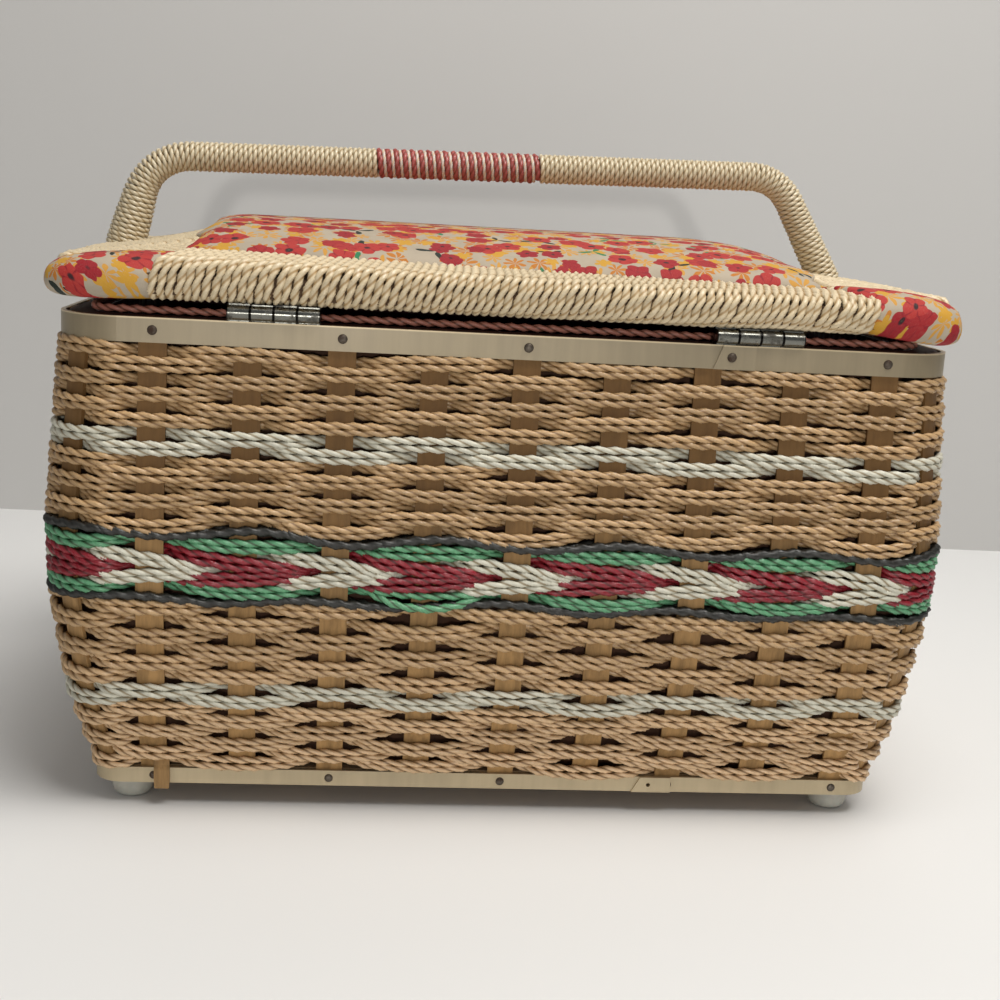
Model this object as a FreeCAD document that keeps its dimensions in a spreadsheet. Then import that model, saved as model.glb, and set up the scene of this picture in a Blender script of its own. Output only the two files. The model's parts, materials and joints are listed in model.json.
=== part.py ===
import FreeCAD
import Part
import Sketcher
import math
import os

# Woven sewing basket with a hinged padded lid, a wrapped handle and a wire latch.
# Millimetres, +Z up, hinge side towards -Y, standing on four feet at Z = 0.

doc = FreeCAD.newDocument("sewing_basket")
sizes = doc.addObject("Spreadsheet::Sheet", "sizes")

# Driving dimensions: the walls are rounded rectangles around four fixed corner axes,
# and a reach is how far a wall stands out from those axes.
DRIVING = {
    "corner_axis_x": 128, "corner_axis_y": 85,
    "rim_reach": 19.5, "belly_top_reach": 24, "belly_low_reach": 23, "waist_reach": 17.2, "base_reach": 8.3,
    "foot_height": 8, "foot_radius": 7.3, "foot_toe": 1.7, "foot_screw_radius": 1.5, "foot_screw_length": 9.5,
    "foot_head_radius": 3, "foot_head_thick": 1.4, "foot_head_sunk": 2.2, "foot_inset": 2.2,
    "base_thick": 5.5, "rim_height": 8, "frame_width": 8, "band_thick": 1.5,
    "strand": 3, "stake_thick": 1.2, "stake_width": 9, "slot_gap": 0.1,
    "back_stakes": 9, "stake_edge_left": 11, "stake_edge_right": 5, "side_stakes": 6,
    "stake_edge_side": 8.75,
    "rows_base": 26.8, "rows_white_low": 6.7, "rows_low": 28.6, "rows_dark": 3.2, "rows_green": 4.6,
    "rows_arrow_white": 2.6, "rows_arrow_red": 4.6, "rows_middle": 24.2, "rows_white_high": 8.8,
    "rows_high": 27,
    "lap_thick": 0.8, "lap_length": 14, "lap_slant": 3, "top_lap_x": 64, "bottom_lap_x": 50, "lap_nail": 6,
    "nail_radius": 0.7, "nail_length": 9, "nail_head_radius": 1.6, "nail_head_thick": 0.7, "hole_gap": 0.05,
    "lining_thick": 1.2, "lining_gap": 0.3, "floor_thick": 1.5, "braid_radius": 1.7, "braid_gap": 0.05,
    "lid_gap": 5.5, "hinge_offset": 79, "hinge_length": 29.6, "hinge_leaf_thick": 0.8,
    "hinge_leaf_depth": 8, "knuckle_radius": 2.35, "knuckle_gap": 0.15, "pin_radius": 1.2, "pin_gap": 0.05,
    "leaf_relief": 0.4, "hinge_screw_pitch": 12, "hinge_screw_back": 5, "hinge_screw_radius": 0.8,
    "hinge_screw_length": 5, "hinge_head_radius": 1.4, "hinge_head_thick": 0.6,
    "lid_lip_x": 2.5, "lid_lip_y": 4, "lid_corner": 18, "lid_edge": 12.5, "lid_rise": 3, "frame_drop": 4,
    "wrap_thick": 2, "rail_side": 44.5, "rail_back": 23, "corner_cloth": 34.5, "panel_corner": 5,
    "panel_gap": 0.3, "lid_lining_thick": 1.2, "board_thick": 3, "cushion_edge": 11, "cushion_crown": 10,
    "handle_foot_left": 8, "handle_foot_right": 14.7, "handle_seat": 4.5, "handle_bend_left": 17.3,
    "handle_bend_right": 45, "handle_rise_left": 46.7, "handle_rise_right": 52.5, "bend_radius_left": 17,
    "bend_radius_right": 16, "core_radius": 3, "handle_radius": 5.5, "core_gap": 0.05,
    "grip_left": 49, "grip_right": 15.6, "grip_sleeve_thick": 0.5, "grip_cord": 2.2, "grip_turns": 19,
    "grip_cord_gap": 0.05, "grip_end_gap": 1.2, "peg_radius": 1, "peg_length": 12, "peg_inset": 0.5,
    "peg_height": 7,
    "latch_plate_half": 11, "latch_plate_thick": 1.2, "latch_barrel_half": 6, "latch_barrel_radius": 2,
    "latch_clear": 0.7, "latch_inset": 0.5, "latch_wire": 1.8, "latch_half": 9.5, "latch_drop": 24,
    "latch_bend": 2.5, "latch_gap": 0.05, "latch_screw_x": 8.5,
    "knob_radius": 4.5, "knob_neck_radius": 2.2, "knob_neck": 2.5, "knob_head": 4.5, "knob_dome": 1.5,
    "knob_stem_radius": 1.5, "knob_stem": 10, "knob_drop": 6.5,
}
for row, (alias, number) in enumerate(DRIVING.items(), start=1):
    sizes.set("A%d" % row, alias)
    sizes.set("B%d" % row, str(number))
    sizes.setAlias("B%d" % row, alias)
doc.recompute()


def of(text):
    """Turns bare names of sizes into an expression on the sheet."""
    words = text.replace("(", " ( ").replace(")", " ) ").split()
    return " ".join("sizes." + word if word in DRIVING else word for word in words)


def mm(text):
    """The value of an expression, as a plain number."""
    return float(sizes.evalExpression(of(text)))


V = FreeCAD.Vector
nodes = {}


def keep(name, thing):
    """Names a finished sub-part."""
    thing.Label = name
    nodes[name] = thing
    return thing


# Levels, from the floor up
BOARD = "foot_height"
WALL = BOARD + " + base_thick"
ZONES = [
    ("weave_natural_base", "rows_base"), ("weave_white_low", "rows_white_low"),
    ("weave_natural_low", "rows_low"),
    ("weave_dark_low", "rows_dark"), ("weave_green_low", "rows_green"),
    ("weave_arrow_white_low", "rows_arrow_white"), ("weave_arrow_red", "rows_arrow_red"),
    ("weave_arrow_white_high", "rows_arrow_white"), ("weave_green_high", "rows_green"),
    ("weave_dark_high", "rows_dark"), ("weave_natural_middle", "rows_middle"),
    ("weave_white_high", "rows_white_high"), ("weave_natural_high", "rows_high"),
]
tops = {}
level = WALL
for zone_name, zone_rows in ZONES:
    level = level + " + " + zone_rows
    tops[zone_name] = level
RIM_LOW = level
RIM = RIM_LOW + " + rim_height"
LID = RIM + " + lid_gap"
HINGE_Z = RIM + " + lid_gap / 2"
BAND_FACE = "rim_reach + band_thick"
HINGE_Y = "corner_axis_y + " + BAND_FACE
LID_X = "( corner_axis_x + %s + lid_lip_x )" % BAND_FACE
LID_Y = "( corner_axis_y + %s + lid_lip_y )" % BAND_FACE
PANEL_X = "( %s - rail_side )" % LID_X
PANEL_Y = "( %s - rail_back )" % LID_Y
WRAP_X = "( %s - corner_cloth )" % LID_X
LATCH_Z = RIM_LOW + " + rim_height / 2"
LATCH_Y = LID_Y + " + latch_wire / 2 + latch_clear"
KNOB_Z = LID + " + knob_drop"
FRAME_IN = "rim_reach - stake_thick - frame_width"
BEHIND = " - stake_thick - strand - slot_gap - lining_gap"
LINING_LOW = "base_reach" + BEHIND
LINING_HIGH = FRAME_IN + " - lining_gap"

# Corner axes of the walls, the lid and the lid's panel opening
WALLS = ("corner_axis_x", "corner_axis_y")
LIDS = (LID_X + " - lid_corner", LID_Y + " - lid_corner")
PANEL = (PANEL_X + " - panel_corner", PANEL_Y + " - panel_corner")

# Profile of the stakes: height and reach where the wall changes its slope
PROFILE = [
    (BOARD, "base_reach"), (WALL, "base_reach"), (tops["weave_natural_base"], "waist_reach"),
    (tops["weave_natural_low"], "belly_low_reach"), (tops["weave_dark_high"], "belly_top_reach"),
    (RIM_LOW, "rim_reach"), (RIM, "rim_reach"),
]


def draw_loop(sketch, axes, reach):
    """A rounded rectangle whose corner arcs are centred on the axes."""
    x, y, radius = mm(axes[0]), mm(axes[1]), mm(reach)
    arc = sketch.GeometryCount
    side = arc + 4
    for quarter, (right, far) in enumerate(((1, 1), (-1, 1), (-1, -1), (1, -1))):
        circle = Part.Circle(V(right * x, far * y, 0), V(0, 0, 1), radius)
        start = quarter * math.pi / 2
        sketch.addGeometry(Part.ArcOfCircle(circle, start, start + math.pi / 2))
    for quarter in range(4):
        begin = sketch.getPoint(arc + quarter, 2)
        end = sketch.getPoint(arc + (quarter + 1) % 4, 1)
        sketch.addGeometry(Part.LineSegment(begin, end))
    for quarter in range(4):
        sketch.addConstraint(Sketcher.Constraint("Tangent", arc + quarter, 2, side + quarter, 1))
        sketch.addConstraint(Sketcher.Constraint("Tangent", side + quarter, 2, arc + (quarter + 1) % 4, 1))
    for quarter in (1, 2, 3):
        sketch.addConstraint(Sketcher.Constraint("Equal", arc, arc + quarter))
    for quarter in (0, 1):
        sketch.addConstraint(Sketcher.Constraint("Symmetric", arc + quarter, 3, arc + quarter + 2, 3, -1, 1))
    sketch.addConstraint(Sketcher.Constraint("Horizontal", side))
    sketch.addConstraint(Sketcher.Constraint("Vertical", side + 1))
    bound = (
        ("DistanceX", (arc, 3, x), axes[0]),
        ("DistanceY", (arc, 3, y), axes[1]),
        ("Radius", (arc, radius), reach),
    )
    for kind, what, text in bound:
        number = sketch.addConstraint(Sketcher.Constraint(kind, *what))
        sketch.setExpression("Constraints[%d]" % number, of(text))


def loft(name, sections):
    """A ruled solid through rounded rectangles, each given as axes, reach and height."""
    sketches = []
    for number, (axes, reach, height) in enumerate(sections):
        sketch = doc.addObject("Sketcher::SketchObject", "%s_section_%d" % (name, number))
        draw_loop(sketch, axes, reach)
        sketch.setExpression("Placement.Base.z", of(height))
        sketches.append(sketch)
    solid = doc.addObject("Part::Loft", name)
    solid.Sections = sketches
    solid.Solid = True
    solid.Ruled = True
    return solid


def loop_pad(name, axes, reaches, low, height):
    """A body padded up from one rounded rectangle, or from the ring between two."""
    body = doc.addObject("PartDesign::Body", name)
    sketch = body.newObject("Sketcher::SketchObject", name + "_outline")
    ground = [plane for plane in body.Origin.OriginFeatures if plane.Role == "XY_Plane"][0]
    sketch.AttachmentSupport = (ground, [""])
    sketch.MapMode = "FlatFace"
    sketch.setExpression("AttachmentOffset.Base.z", of(low))
    for reach in reaches:
        draw_loop(sketch, axes, reach)
    pad = body.newObject("PartDesign::Pad", name + "_pad")
    pad.Profile = sketch
    pad.setExpression("Length", of(height))
    return body


def slab(name, across, along, up):
    """A box between pairs of expressions."""
    box = doc.addObject("Part::Box", name)
    for side, axis, (low, high) in zip(("Length", "Width", "Height"), "xyz", (across, along, up)):
        box.setExpression(side, of("( %s ) - ( %s )" % (high, low)))
        box.setExpression("Placement.Base." + axis, of(low))
    return box


TURNS = {
    "x": FreeCAD.Rotation(V(0, 1, 0), 90),
    "y": FreeCAD.Rotation(V(1, 0, 0), -90),
    "z": FreeCAD.Rotation(),
}


def rod(name, axis, start, radius, length, top_radius=None):
    """A cylinder, or a cone where a top radius is given, from a start point along an axis."""
    round_part = doc.addObject("Part::Cone" if top_radius else "Part::Cylinder", name)
    round_part.Placement = FreeCAD.Placement(V(), TURNS[axis])
    round_part.setExpression("Radius1" if top_radius else "Radius", of(radius))
    if top_radius:
        round_part.setExpression("Radius2", of(top_radius))
    round_part.setExpression("Height", of(length))
    for letter, place in zip("xyz", start):
        round_part.setExpression("Placement.Base." + letter, of(place))
    return round_part


def joined(name, kind, base, tool):
    """A boolean of two objects: Cut, Common or Fuse."""
    result = doc.addObject("Part::" + kind, name)
    result.Base = base
    result.Tool = tool
    return result


def fused(name, pieces):
    """Several objects as one solid."""
    result = doc.addObject("Part::MultiFuse", name)
    result.Shapes = pieces
    return result


def feature(name, shape):
    """A shape worked out from the sheet."""
    thing = doc.addObject("Part::Feature", name)
    thing.Shape = shape
    return thing


# Stakes: flat uprights between the rim and the base board
def wall_loft(name, offset):
    """The whole wall as a solid, offset from the outer faces of the stakes."""
    return loft(name, [(WALLS, "%s + %s" % (reach, offset), height) for height, reach in PROFILE])


def stake_places():
    """Foot point and outward direction of each stake, round the basket."""
    x, y = mm("corner_axis_x"), mm("corner_axis_y")
    left = -x + mm("stake_edge_left")
    step = (x - mm("stake_edge_right") - left) / (mm("back_stakes") - 1)
    near = -y + mm("stake_edge_side")
    side_step = -2 * near / (mm("side_stakes") - 1)
    places = []
    for number in range(int(mm("back_stakes"))):
        places.append((V(left + number * step, -y, 0), V(0, -1, 0)))
        places.append((V(left + number * step, y, 0), V(0, 1, 0)))
    for number in range(int(mm("side_stakes"))):
        places.append((V(-x, near + number * side_step, 0), V(-1, 0, 0)))
        places.append((V(x, near + number * side_step, 0), V(1, 0, 0)))
    for right in (-1, 1):
        for far in (-1, 1):
            places.append((V(right * x, far * y, 0), V(right, far, 0).normalize()))
    return places


def stake_blocks(spare):
    """Upright blocks that mark where the stakes stand, as wide as a stake and its spare room."""
    width = mm("stake_width") + 2 * spare
    out = mm("belly_top_reach + corner_axis_y")
    blocks = []
    for foot, outward in stake_places():
        block = Part.makeBox(out, width, mm(RIM), V(0, -width / 2, 0))
        block.Placement = FreeCAD.Placement(foot, FreeCAD.Rotation(V(1, 0, 0), outward))
        blocks.append(block)
    return Part.makeCompound(blocks)


stake_faces = wall_loft("stake_faces", "0")
stake_backs = wall_loft("stake_backs", "( - stake_thick )")
stake_layer = joined("stake_layer", "Cut", stake_faces, stake_backs)
slot_faces = wall_loft("slot_faces", "slot_gap")
slot_backs = wall_loft("slot_backs", "( - stake_thick - slot_gap )")
slot_layer = joined("slot_layer", "Cut", slot_faces, slot_backs)
whole_stakes = joined("whole_stakes", "Common", stake_layer, feature("stake_blocks", stake_blocks(0)))
stake_slots = joined("stake_slots", "Common", slot_layer, feature("slot_blocks", stake_blocks(mm("slot_gap"))))

# Woven wall: one ring for each band of colour, slotted for the stakes
wall_faces = wall_loft("wall_faces", "strand")
wall_backs = wall_loft("wall_backs", "( - stake_thick - strand )")
wall_skin = joined("wall_skin", "Cut", wall_faces, wall_backs)
woven_wall = joined("woven_wall", "Cut", wall_skin, stake_slots)
OUT_X = "corner_axis_x + belly_top_reach + 2 * strand"
OUT_Y = "corner_axis_y + belly_top_reach + 2 * strand"
low = WALL
for zone_name, zone_rows in ZONES:
    across, along = ("- ( %s )" % OUT_X, OUT_X), ("- ( %s )" % OUT_Y, OUT_Y)
    band = slab(zone_name + "_band", across, along, (low, tops[zone_name]))
    keep(zone_name, joined(zone_name, "Common", woven_wall, band))
    low = tops[zone_name]


# Nails, screws and their holes
def fastener(point, inward, shank, head):
    """A nail or screw: its shank goes inward from the point, its head stands outward."""
    body = Part.makeCylinder(shank[0], shank[1], point, inward)
    return body.fuse(Part.makeCylinder(head[0], head[1], point, inward * -1))


def hole(point, inward, shank):
    """The hole for a fastener's shank, from just outside the point."""
    spare = mm("hole_gap")
    skin = mm("band_thick + lap_thick")
    return Part.makeCylinder(shank[0] + spare, shank[1] + spare + skin, point - inward * skin, inward)


def nail_points(reach, height, lap_x):
    """Nails through every other stake: none under the latch, and one moved to hold the lap."""
    face = mm(reach)
    points = []
    for number, (foot, outward) in enumerate(stake_places()[:-4]):
        back_row = number < 2 * mm("back_stakes")
        if (number // 2) % 2 and back_row or (number // 2) % 2 == 0 and not back_row:
            continue
        point = foot + outward * face + V(0, 0, height)
        if outward.y > 0 and height > mm(WALL) and abs(point.x) < mm("latch_plate_half + nail_head_radius"):
            continue
        lapped = outward.y < 0 and abs(point.x - lap_x - mm("lap_length") / 2) < mm("lap_length")
        if lapped:
            point = V(lap_x + mm("lap_nail"), point.y - mm("lap_thick"), height)
        points.append((point, outward * -1))
    return points


nail_shank = (mm("nail_radius"), mm("nail_length"))
nail_head = (mm("nail_head_radius"), mm("nail_head_thick"))
top_nail_points = nail_points(BAND_FACE, mm(RIM_LOW + " + rim_height / 2"), mm("top_lap_x"))
bottom_nail_z = mm(BOARD + " + base_thick / 2")
bottom_nail_points = nail_points("base_reach + band_thick", bottom_nail_z, mm("bottom_lap_x"))
for nails_name, points in (("top_nails", top_nail_points), ("bottom_nails", bottom_nail_points)):
    nails = [fastener(point, inward, nail_shank, nail_head) for point, inward in points]
    keep(nails_name, feature(nails_name, Part.makeCompound(nails)))

hinge_shank = (mm("hinge_screw_radius"), mm("hinge_screw_length"))
hinge_head = (mm("hinge_head_radius"), mm("hinge_head_thick"))
hinge_screw_y = -mm(HINGE_Y) + mm("hinge_screw_back")
hinge_screw_x = []
for side in (-1, 1):
    for end in (-1, 1):
        hinge_screw_x.append(side * mm("hinge_offset") + end * mm("hinge_screw_pitch") / 2)
low_points = [(V(x, hinge_screw_y, mm(RIM + " + hinge_leaf_thick")), V(0, 0, -1)) for x in hinge_screw_x]
high_points = [(V(x, hinge_screw_y, mm(LID + " - hinge_leaf_thick")), V(0, 0, 1)) for x in hinge_screw_x]
for screws_name, points in (("hinge_screws_rim", low_points), ("hinge_screws_lid", high_points)):
    screws = [fastener(point, inward, hinge_shank, hinge_head) for point, inward in points]
    keep(screws_name, feature(screws_name, Part.makeCompound(screws)))

latch_face = mm("corner_axis_y + " + BAND_FACE + " + latch_plate_thick")
latch_points = [(V(side * mm("latch_screw_x"), latch_face, mm(LATCH_Z)), V(0, -1, 0)) for side in (-1, 1)]
latch_screws = [fastener(point, inward, nail_shank, nail_head) for point, inward in latch_points]
keep("latch_screws", feature("latch_screws", Part.makeCompound(latch_screws)))

rim_holes = [hole(point, inward, nail_shank) for point, inward in top_nail_points + latch_points]
rim_holes += [hole(point, inward, hinge_shank) for point, inward in low_points]
base_holes = [hole(point, inward, nail_shank) for point, inward in bottom_nail_points]
leaf_holes = [hole(point, inward, hinge_shank) for point, inward in high_points]
lid_holes = feature("lid_screw_holes", Part.makeCompound(leaf_holes))
all_holes = feature("fastener_holes", Part.makeCompound(rim_holes + base_holes))
keep("stakes", joined("stakes", "Cut", whole_stakes, all_holes))


# Base board, feet and their screws
foot_places = [
    ("back_left", "- ", "- "), ("back_right", "", "- "),
    ("front_left", "- ", ""), ("front_right", "", ""),
]
screw_tools = []
foot_screws = []
for place, right, far in foot_places:
    spot = (right + "( corner_axis_x - foot_inset )", far + "( corner_axis_y - foot_inset )")
    toe = rod("foot_toe_" + place, "z", spot + ("0",), "foot_radius - foot_toe", "foot_toe", "foot_radius")
    heel = rod("foot_heel_" + place, "z", spot + ("foot_toe",), "foot_radius", "foot_height - foot_toe")
    bore = rod("foot_bore_" + place, "z", spot + ("0",), "foot_screw_radius + hole_gap", "foot_height")
    sink = rod("foot_sink_" + place, "z", spot + ("0",), "foot_head_radius + hole_gap", "foot_head_sunk")
    blank = fused("foot_blank_" + place, [toe, heel])
    keep("foot_" + place, joined("foot_" + place, "Cut", blank, fused("foot_hole_" + place, [bore, sink])))
    pilot = rod("foot_pilot_" + place, "z", spot + ("0",), "foot_screw_radius + hole_gap",
                "foot_head_sunk + foot_screw_length + hole_gap")
    screw_tools.append(pilot)
    seat = V(mm(spot[0]), mm(spot[1]), mm("foot_head_sunk"))
    shank = (mm("foot_screw_radius"), mm("foot_screw_length"))
    foot_screws.append(fastener(seat, V(0, 0, 1), shank, (mm("foot_head_radius"), mm("foot_head_thick"))))
keep("foot_screws", feature("foot_screws", Part.makeCompound(foot_screws)))
board = loop_pad("board_blank", WALLS, ["base_reach - stake_thick"], BOARD, "base_thick")
board_tools = doc.addObject("Part::Compound", "board_holes")
board_tools.Links = screw_tools + [all_holes]
keep("base_board", joined("base_board", "Cut", board, board_tools))


# Bands: lapped plastic strips nailed over the ends of the stakes
def lapped_band(name, reach, low, height, lap_x):
    """A strip round the basket with its slanted end lapped over its start on the hinge side."""
    ring = loop_pad(name + "_ring", WALLS, [reach + " + band_thick", reach], low, height)
    lap = doc.addObject("Part::Wedge", name + "_lap")
    lap.Placement = FreeCAD.Placement(V(), FreeCAD.Rotation(V(1, 0, 0), 90))
    limits = (("Xmin", "0"), ("Xmax", "lap_length"), ("X2min", "lap_slant"), ("X2max", "lap_length"),
              ("Ymin", "0"), ("Ymax", height),
              ("Zmin", "0"), ("Zmax", "lap_thick"), ("Z2min", "0"), ("Z2max", "lap_thick"))
    for limit, text in limits:
        lap.setExpression(limit, of(text))
    for axis, text in zip("xyz", (lap_x, "- ( corner_axis_y + %s + band_thick )" % reach, low)):
        lap.setExpression("Placement.Base." + axis, of(text))
    return joined(name, "Cut", fused(name + "_strip", [ring, lap]), all_holes)


keep("bottom_band", lapped_band("bottom_band", "base_reach", BOARD, "base_thick", "bottom_lap_x"))
keep("top_band", lapped_band("top_band", "rim_reach", RIM_LOW, "rim_height", "top_lap_x"))
rim_ring = loop_pad("rim_ring", WALLS, ["rim_reach - stake_thick", FRAME_IN], RIM_LOW, "rim_height")
keep("top_frame", joined("top_frame", "Cut", rim_ring, all_holes))

# Lining: card walls that follow the weave up to the rim, and a floor, both covered in cloth
THIN = " - lining_thick"
LINING = [(height, reach + BEHIND) for height, reach in PROFILE[1:5]]
LINING += [(RIM_LOW, LINING_HIGH), (RIM, LINING_HIGH)]
lining_out = loft("lining_out", [(WALLS, reach, height) for height, reach in LINING])
lining_in = loft("lining_in", [(WALLS, reach + THIN, height) for height, reach in LINING])
keep("lining_walls", joined("lining_walls", "Cut", lining_out, lining_in))
FLOOR_REACH = LINING_LOW + THIN + " - lining_gap"
keep("lining_floor", loop_pad("lining_floor", WALLS, [FLOOR_REACH], WALL, "floor_thick"))


# Tubes along lines and arcs
def rounded_path(points, radii, closed=False):
    """Straight runs with a tangent arc of its own radius at each inner point."""
    count = len(points)
    runs = []
    corners = range(count) if closed else range(1, count - 1)
    ends = {}
    for number in corners:
        here = points[number]
        back = (points[number - 1] - here).normalize()
        ahead = (points[(number + 1) % count] - here).normalize()
        half = back.getAngle(ahead) / 2
        radius = radii[number % len(radii)]
        trim = radius / math.tan(half)
        inward = (back + ahead).normalize()
        middle = here + inward * (radius / math.sin(half) - radius)
        ends[number] = (here + back * trim, middle, here + ahead * trim)
    spans = range(count) if closed else range(count - 1)
    for number in spans:
        following = (number + 1) % count
        begin = ends[number][2] if number in ends else points[number]
        finish = ends[following][0] if following in ends else points[following]
        runs.append(Part.LineSegment(begin, finish).toShape())
        if following in ends:
            runs.append(Part.Arc(*ends[following]).toShape())
    return Part.Wire(runs)


def tube(path, radius):
    """A round tube along a path."""
    edge = path.Edges[0]
    start = edge.valueAt(edge.FirstParameter)
    ring = Part.Wire([Part.makeCircle(radius, start, edge.tangentAt(edge.FirstParameter))])
    return path.makePipeShell([ring], True, False)


# Rim braid: a thick cord lying on the inner edge of the rim
braid_reach = mm(FRAME_IN)
braid_z = mm(RIM + " + braid_radius + braid_gap")
braid_x, braid_y = mm("corner_axis_x") + braid_reach, mm("corner_axis_y") + braid_reach
braid_points = [V(0, -braid_y, braid_z), V(braid_x, -braid_y, braid_z), V(braid_x, braid_y, braid_z),
                V(-braid_x, braid_y, braid_z), V(-braid_x, -braid_y, braid_z), V(0, -braid_y, braid_z)]
braid_path = rounded_path(braid_points, [braid_reach])
keep("rim_braid", feature("rim_braid", tube(braid_path, mm("braid_radius"))))


# Hinges: four knuckles on one pin, taken in turn by the rim's leaf and the lid's leaf
def hinge_leaf(name, side, on_lid):
    """One leaf with two of the four knuckles."""
    middle = "hinge_offset" if side > 0 else "( - hinge_offset )"
    start = middle + " - hinge_length / 2"
    up = (LID + " - hinge_leaf_thick", LID) if on_lid else (RIM, RIM + " + hinge_leaf_thick")
    axis = "( - ( %s ) )" % HINGE_Y
    clear = axis + " + knuckle_radius + leaf_relief"
    across = (start, middle + " + hinge_length / 2")
    plate = slab(name + "_plate", across, (clear, axis + " + hinge_leaf_depth"), up)
    pieces = [plate]
    for turn in (1, 3) if on_lid else (0, 2):
        left = "%s + %d * hinge_length / 4 + knuckle_gap / 2" % (start, turn)
        right = "%s + %d * hinge_length / 4 - knuckle_gap / 2" % (start, turn + 1)
        pieces.append(slab("%s_tab_%d" % (name, turn), (left, right), (axis, clear), up))
        pieces.append(rod("%s_knuckle_%d" % (name, turn), "x", (left, axis, HINGE_Z), "knuckle_radius",
                          "hinge_length / 4 - knuckle_gap"))
    bore = rod(name + "_bore", "x", (start, axis, HINGE_Z), "pin_radius + pin_gap", "hinge_length")
    drilled = joined(name + "_drilled", "Cut", fused(name + "_blank", pieces), bore)
    return keep(name, joined(name, "Cut", drilled, lid_holes if on_lid else all_holes))


for side_name, side in (("left", -1), ("right", 1)):
    hinge_leaf("hinge_rim_leaf_" + side_name, side, False)
    hinge_leaf("hinge_lid_leaf_" + side_name, side, True)
    pin_start = ("%d * hinge_offset - hinge_length / 2" % side, "- ( %s )" % HINGE_Y, HINGE_Z)
    pin = rod("hinge_pin_" + side_name, "x", pin_start, "pin_radius", "hinge_length")
    keep("hinge_pin_" + side_name, pin)

# Lid frame and the skin of wound cord and cloth that covers it
EDGE = LID + " + lid_edge"
CREST = EDGE + " + lid_rise"
skin_block = loft("skin_block", [(LIDS, "lid_corner", LID),
                                 (LIDS, "lid_corner", EDGE),
                                 (PANEL, "panel_corner", CREST)])
frame_block = loft("frame_block", [(LIDS, "lid_corner - wrap_thick", LID + " + wrap_thick"),
                                   (LIDS, "lid_corner - wrap_thick", EDGE + " - frame_drop"),
                                   (PANEL, "panel_corner + wrap_thick", CREST + " - wrap_thick")])
opening = loop_pad("panel_opening", PANEL, ["panel_corner"], LID, "lid_edge + lid_rise")
frame_opening = loop_pad("frame_opening", PANEL, ["panel_corner + wrap_thick"], LID, "lid_edge + lid_rise")
frame_blank = joined("frame_blank", "Cut", frame_block, frame_opening)
skin_ring = joined("skin_ring", "Cut", skin_block, opening)
lid_skin = joined("lid_skin", "Cut", skin_ring, frame_blank)

# Handle: a bent rod let into the side rails, wound with cord
seat_z = mm(LID + " + handle_seat")
foot_left = V(-mm(LID_X + " - handle_foot_left"), 0, seat_z)
foot_right = V(mm(LID_X + " - handle_foot_right"), 0, seat_z)
bend_left = V(-mm(LID_X + " - handle_bend_left"), 0, mm(LID + " + handle_rise_left"))
bend_right = V(mm(LID_X + " - handle_bend_right"), 0, mm(LID + " + handle_rise_right"))
bar = bend_right - bend_left
grip_from = bend_left + bar * ((-mm("grip_left") - bend_left.x) / bar.x)
grip_to = bend_left + bar * ((mm("grip_right") - bend_left.x) / bar.x)
bends = [mm("bend_radius_left"), mm("bend_radius_right")]
core_path = rounded_path([foot_left, bend_left, bend_right, foot_right], [0, bends[0], bends[1], 0])
left_path = rounded_path([foot_left, bend_left, grip_from], [0, bends[0], 0])
right_path = rounded_path([grip_to, bend_right, foot_right], [0, bends[1], 0])
grip_path = Part.Wire([Part.LineSegment(grip_from, grip_to).toShape()])
core_radius = mm("core_radius")
sleeve_bore = core_radius + mm("core_gap")

pegs = []
peg_holes = []
for foot, bend, side in ((foot_left, bend_left, -1), (foot_right, bend_right, 1)):
    peg_start = V(side * mm(LID_X + " - wrap_thick - peg_inset"), 0, mm(LID + " + peg_height"))
    inward = V(-side, 0, 0)
    reach_in = mm("peg_length") + abs(peg_start.x) - abs(foot.x)
    pegs.append(Part.makeCylinder(mm("peg_radius"), reach_in, peg_start, inward))
    hole_depth = reach_in + mm("hole_gap")
    peg_holes.append(Part.makeCylinder(mm("peg_radius + hole_gap"), hole_depth, peg_start, inward))
keep("handle_pegs", feature("handle_pegs", Part.makeCompound(pegs)))
peg_tool = feature("peg_holes", Part.makeCompound(peg_holes))
core_tool = feature("core_socket", tube(core_path, sleeve_bore))
keep("handle_core", joined("handle_core", "Cut", feature("core_rod", tube(core_path, core_radius)), peg_tool))
for wrap_name, path in (("handle_wrap_left", left_path), ("handle_wrap_right", right_path)):
    wound = feature(wrap_name + "_round", tube(path, mm("handle_radius")))
    sleeve = joined(wrap_name + "_sleeve", "Cut", wound, core_tool)
    keep(wrap_name, joined(wrap_name, "Cut", sleeve, skin_block))
grip_round = feature("grip_round", tube(grip_path, core_radius + mm("grip_sleeve_thick")))
keep("grip_sleeve", joined("grip_sleeve", "Cut", grip_round, core_tool))


# Grip winding: one unbroken cord in open turns over the sleeve
def biarc(begin, begin_way, end, end_way):
    """Two tangent arcs from one point and direction to another."""
    across = end - begin
    ways = begin_way + end_way
    bend = 2 * (1 - begin_way.dot(end_way))
    lean = across.dot(ways)
    arm = (math.sqrt(lean * lean + bend * across.dot(across)) - lean) / bend
    joint = (begin + begin_way * arm + end - end_way * arm) * 0.5
    arcs = []
    for start, way, stop in ((begin, begin_way, joint), (end, end_way * -1, joint)):
        chord = stop - start
        side_way = (chord - way * chord.dot(way)).normalize()
        radius = chord.dot(chord) / (2 * chord.dot(side_way))
        centre = start + side_way * radius
        middle = centre + ((start - centre) + (stop - centre)).normalize() * radius
        arcs.append((start, middle, stop))
    first, last = arcs
    return [Part.Arc(*first).toShape(), Part.Arc(last[2], last[1], last[0]).toShape()]


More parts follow.
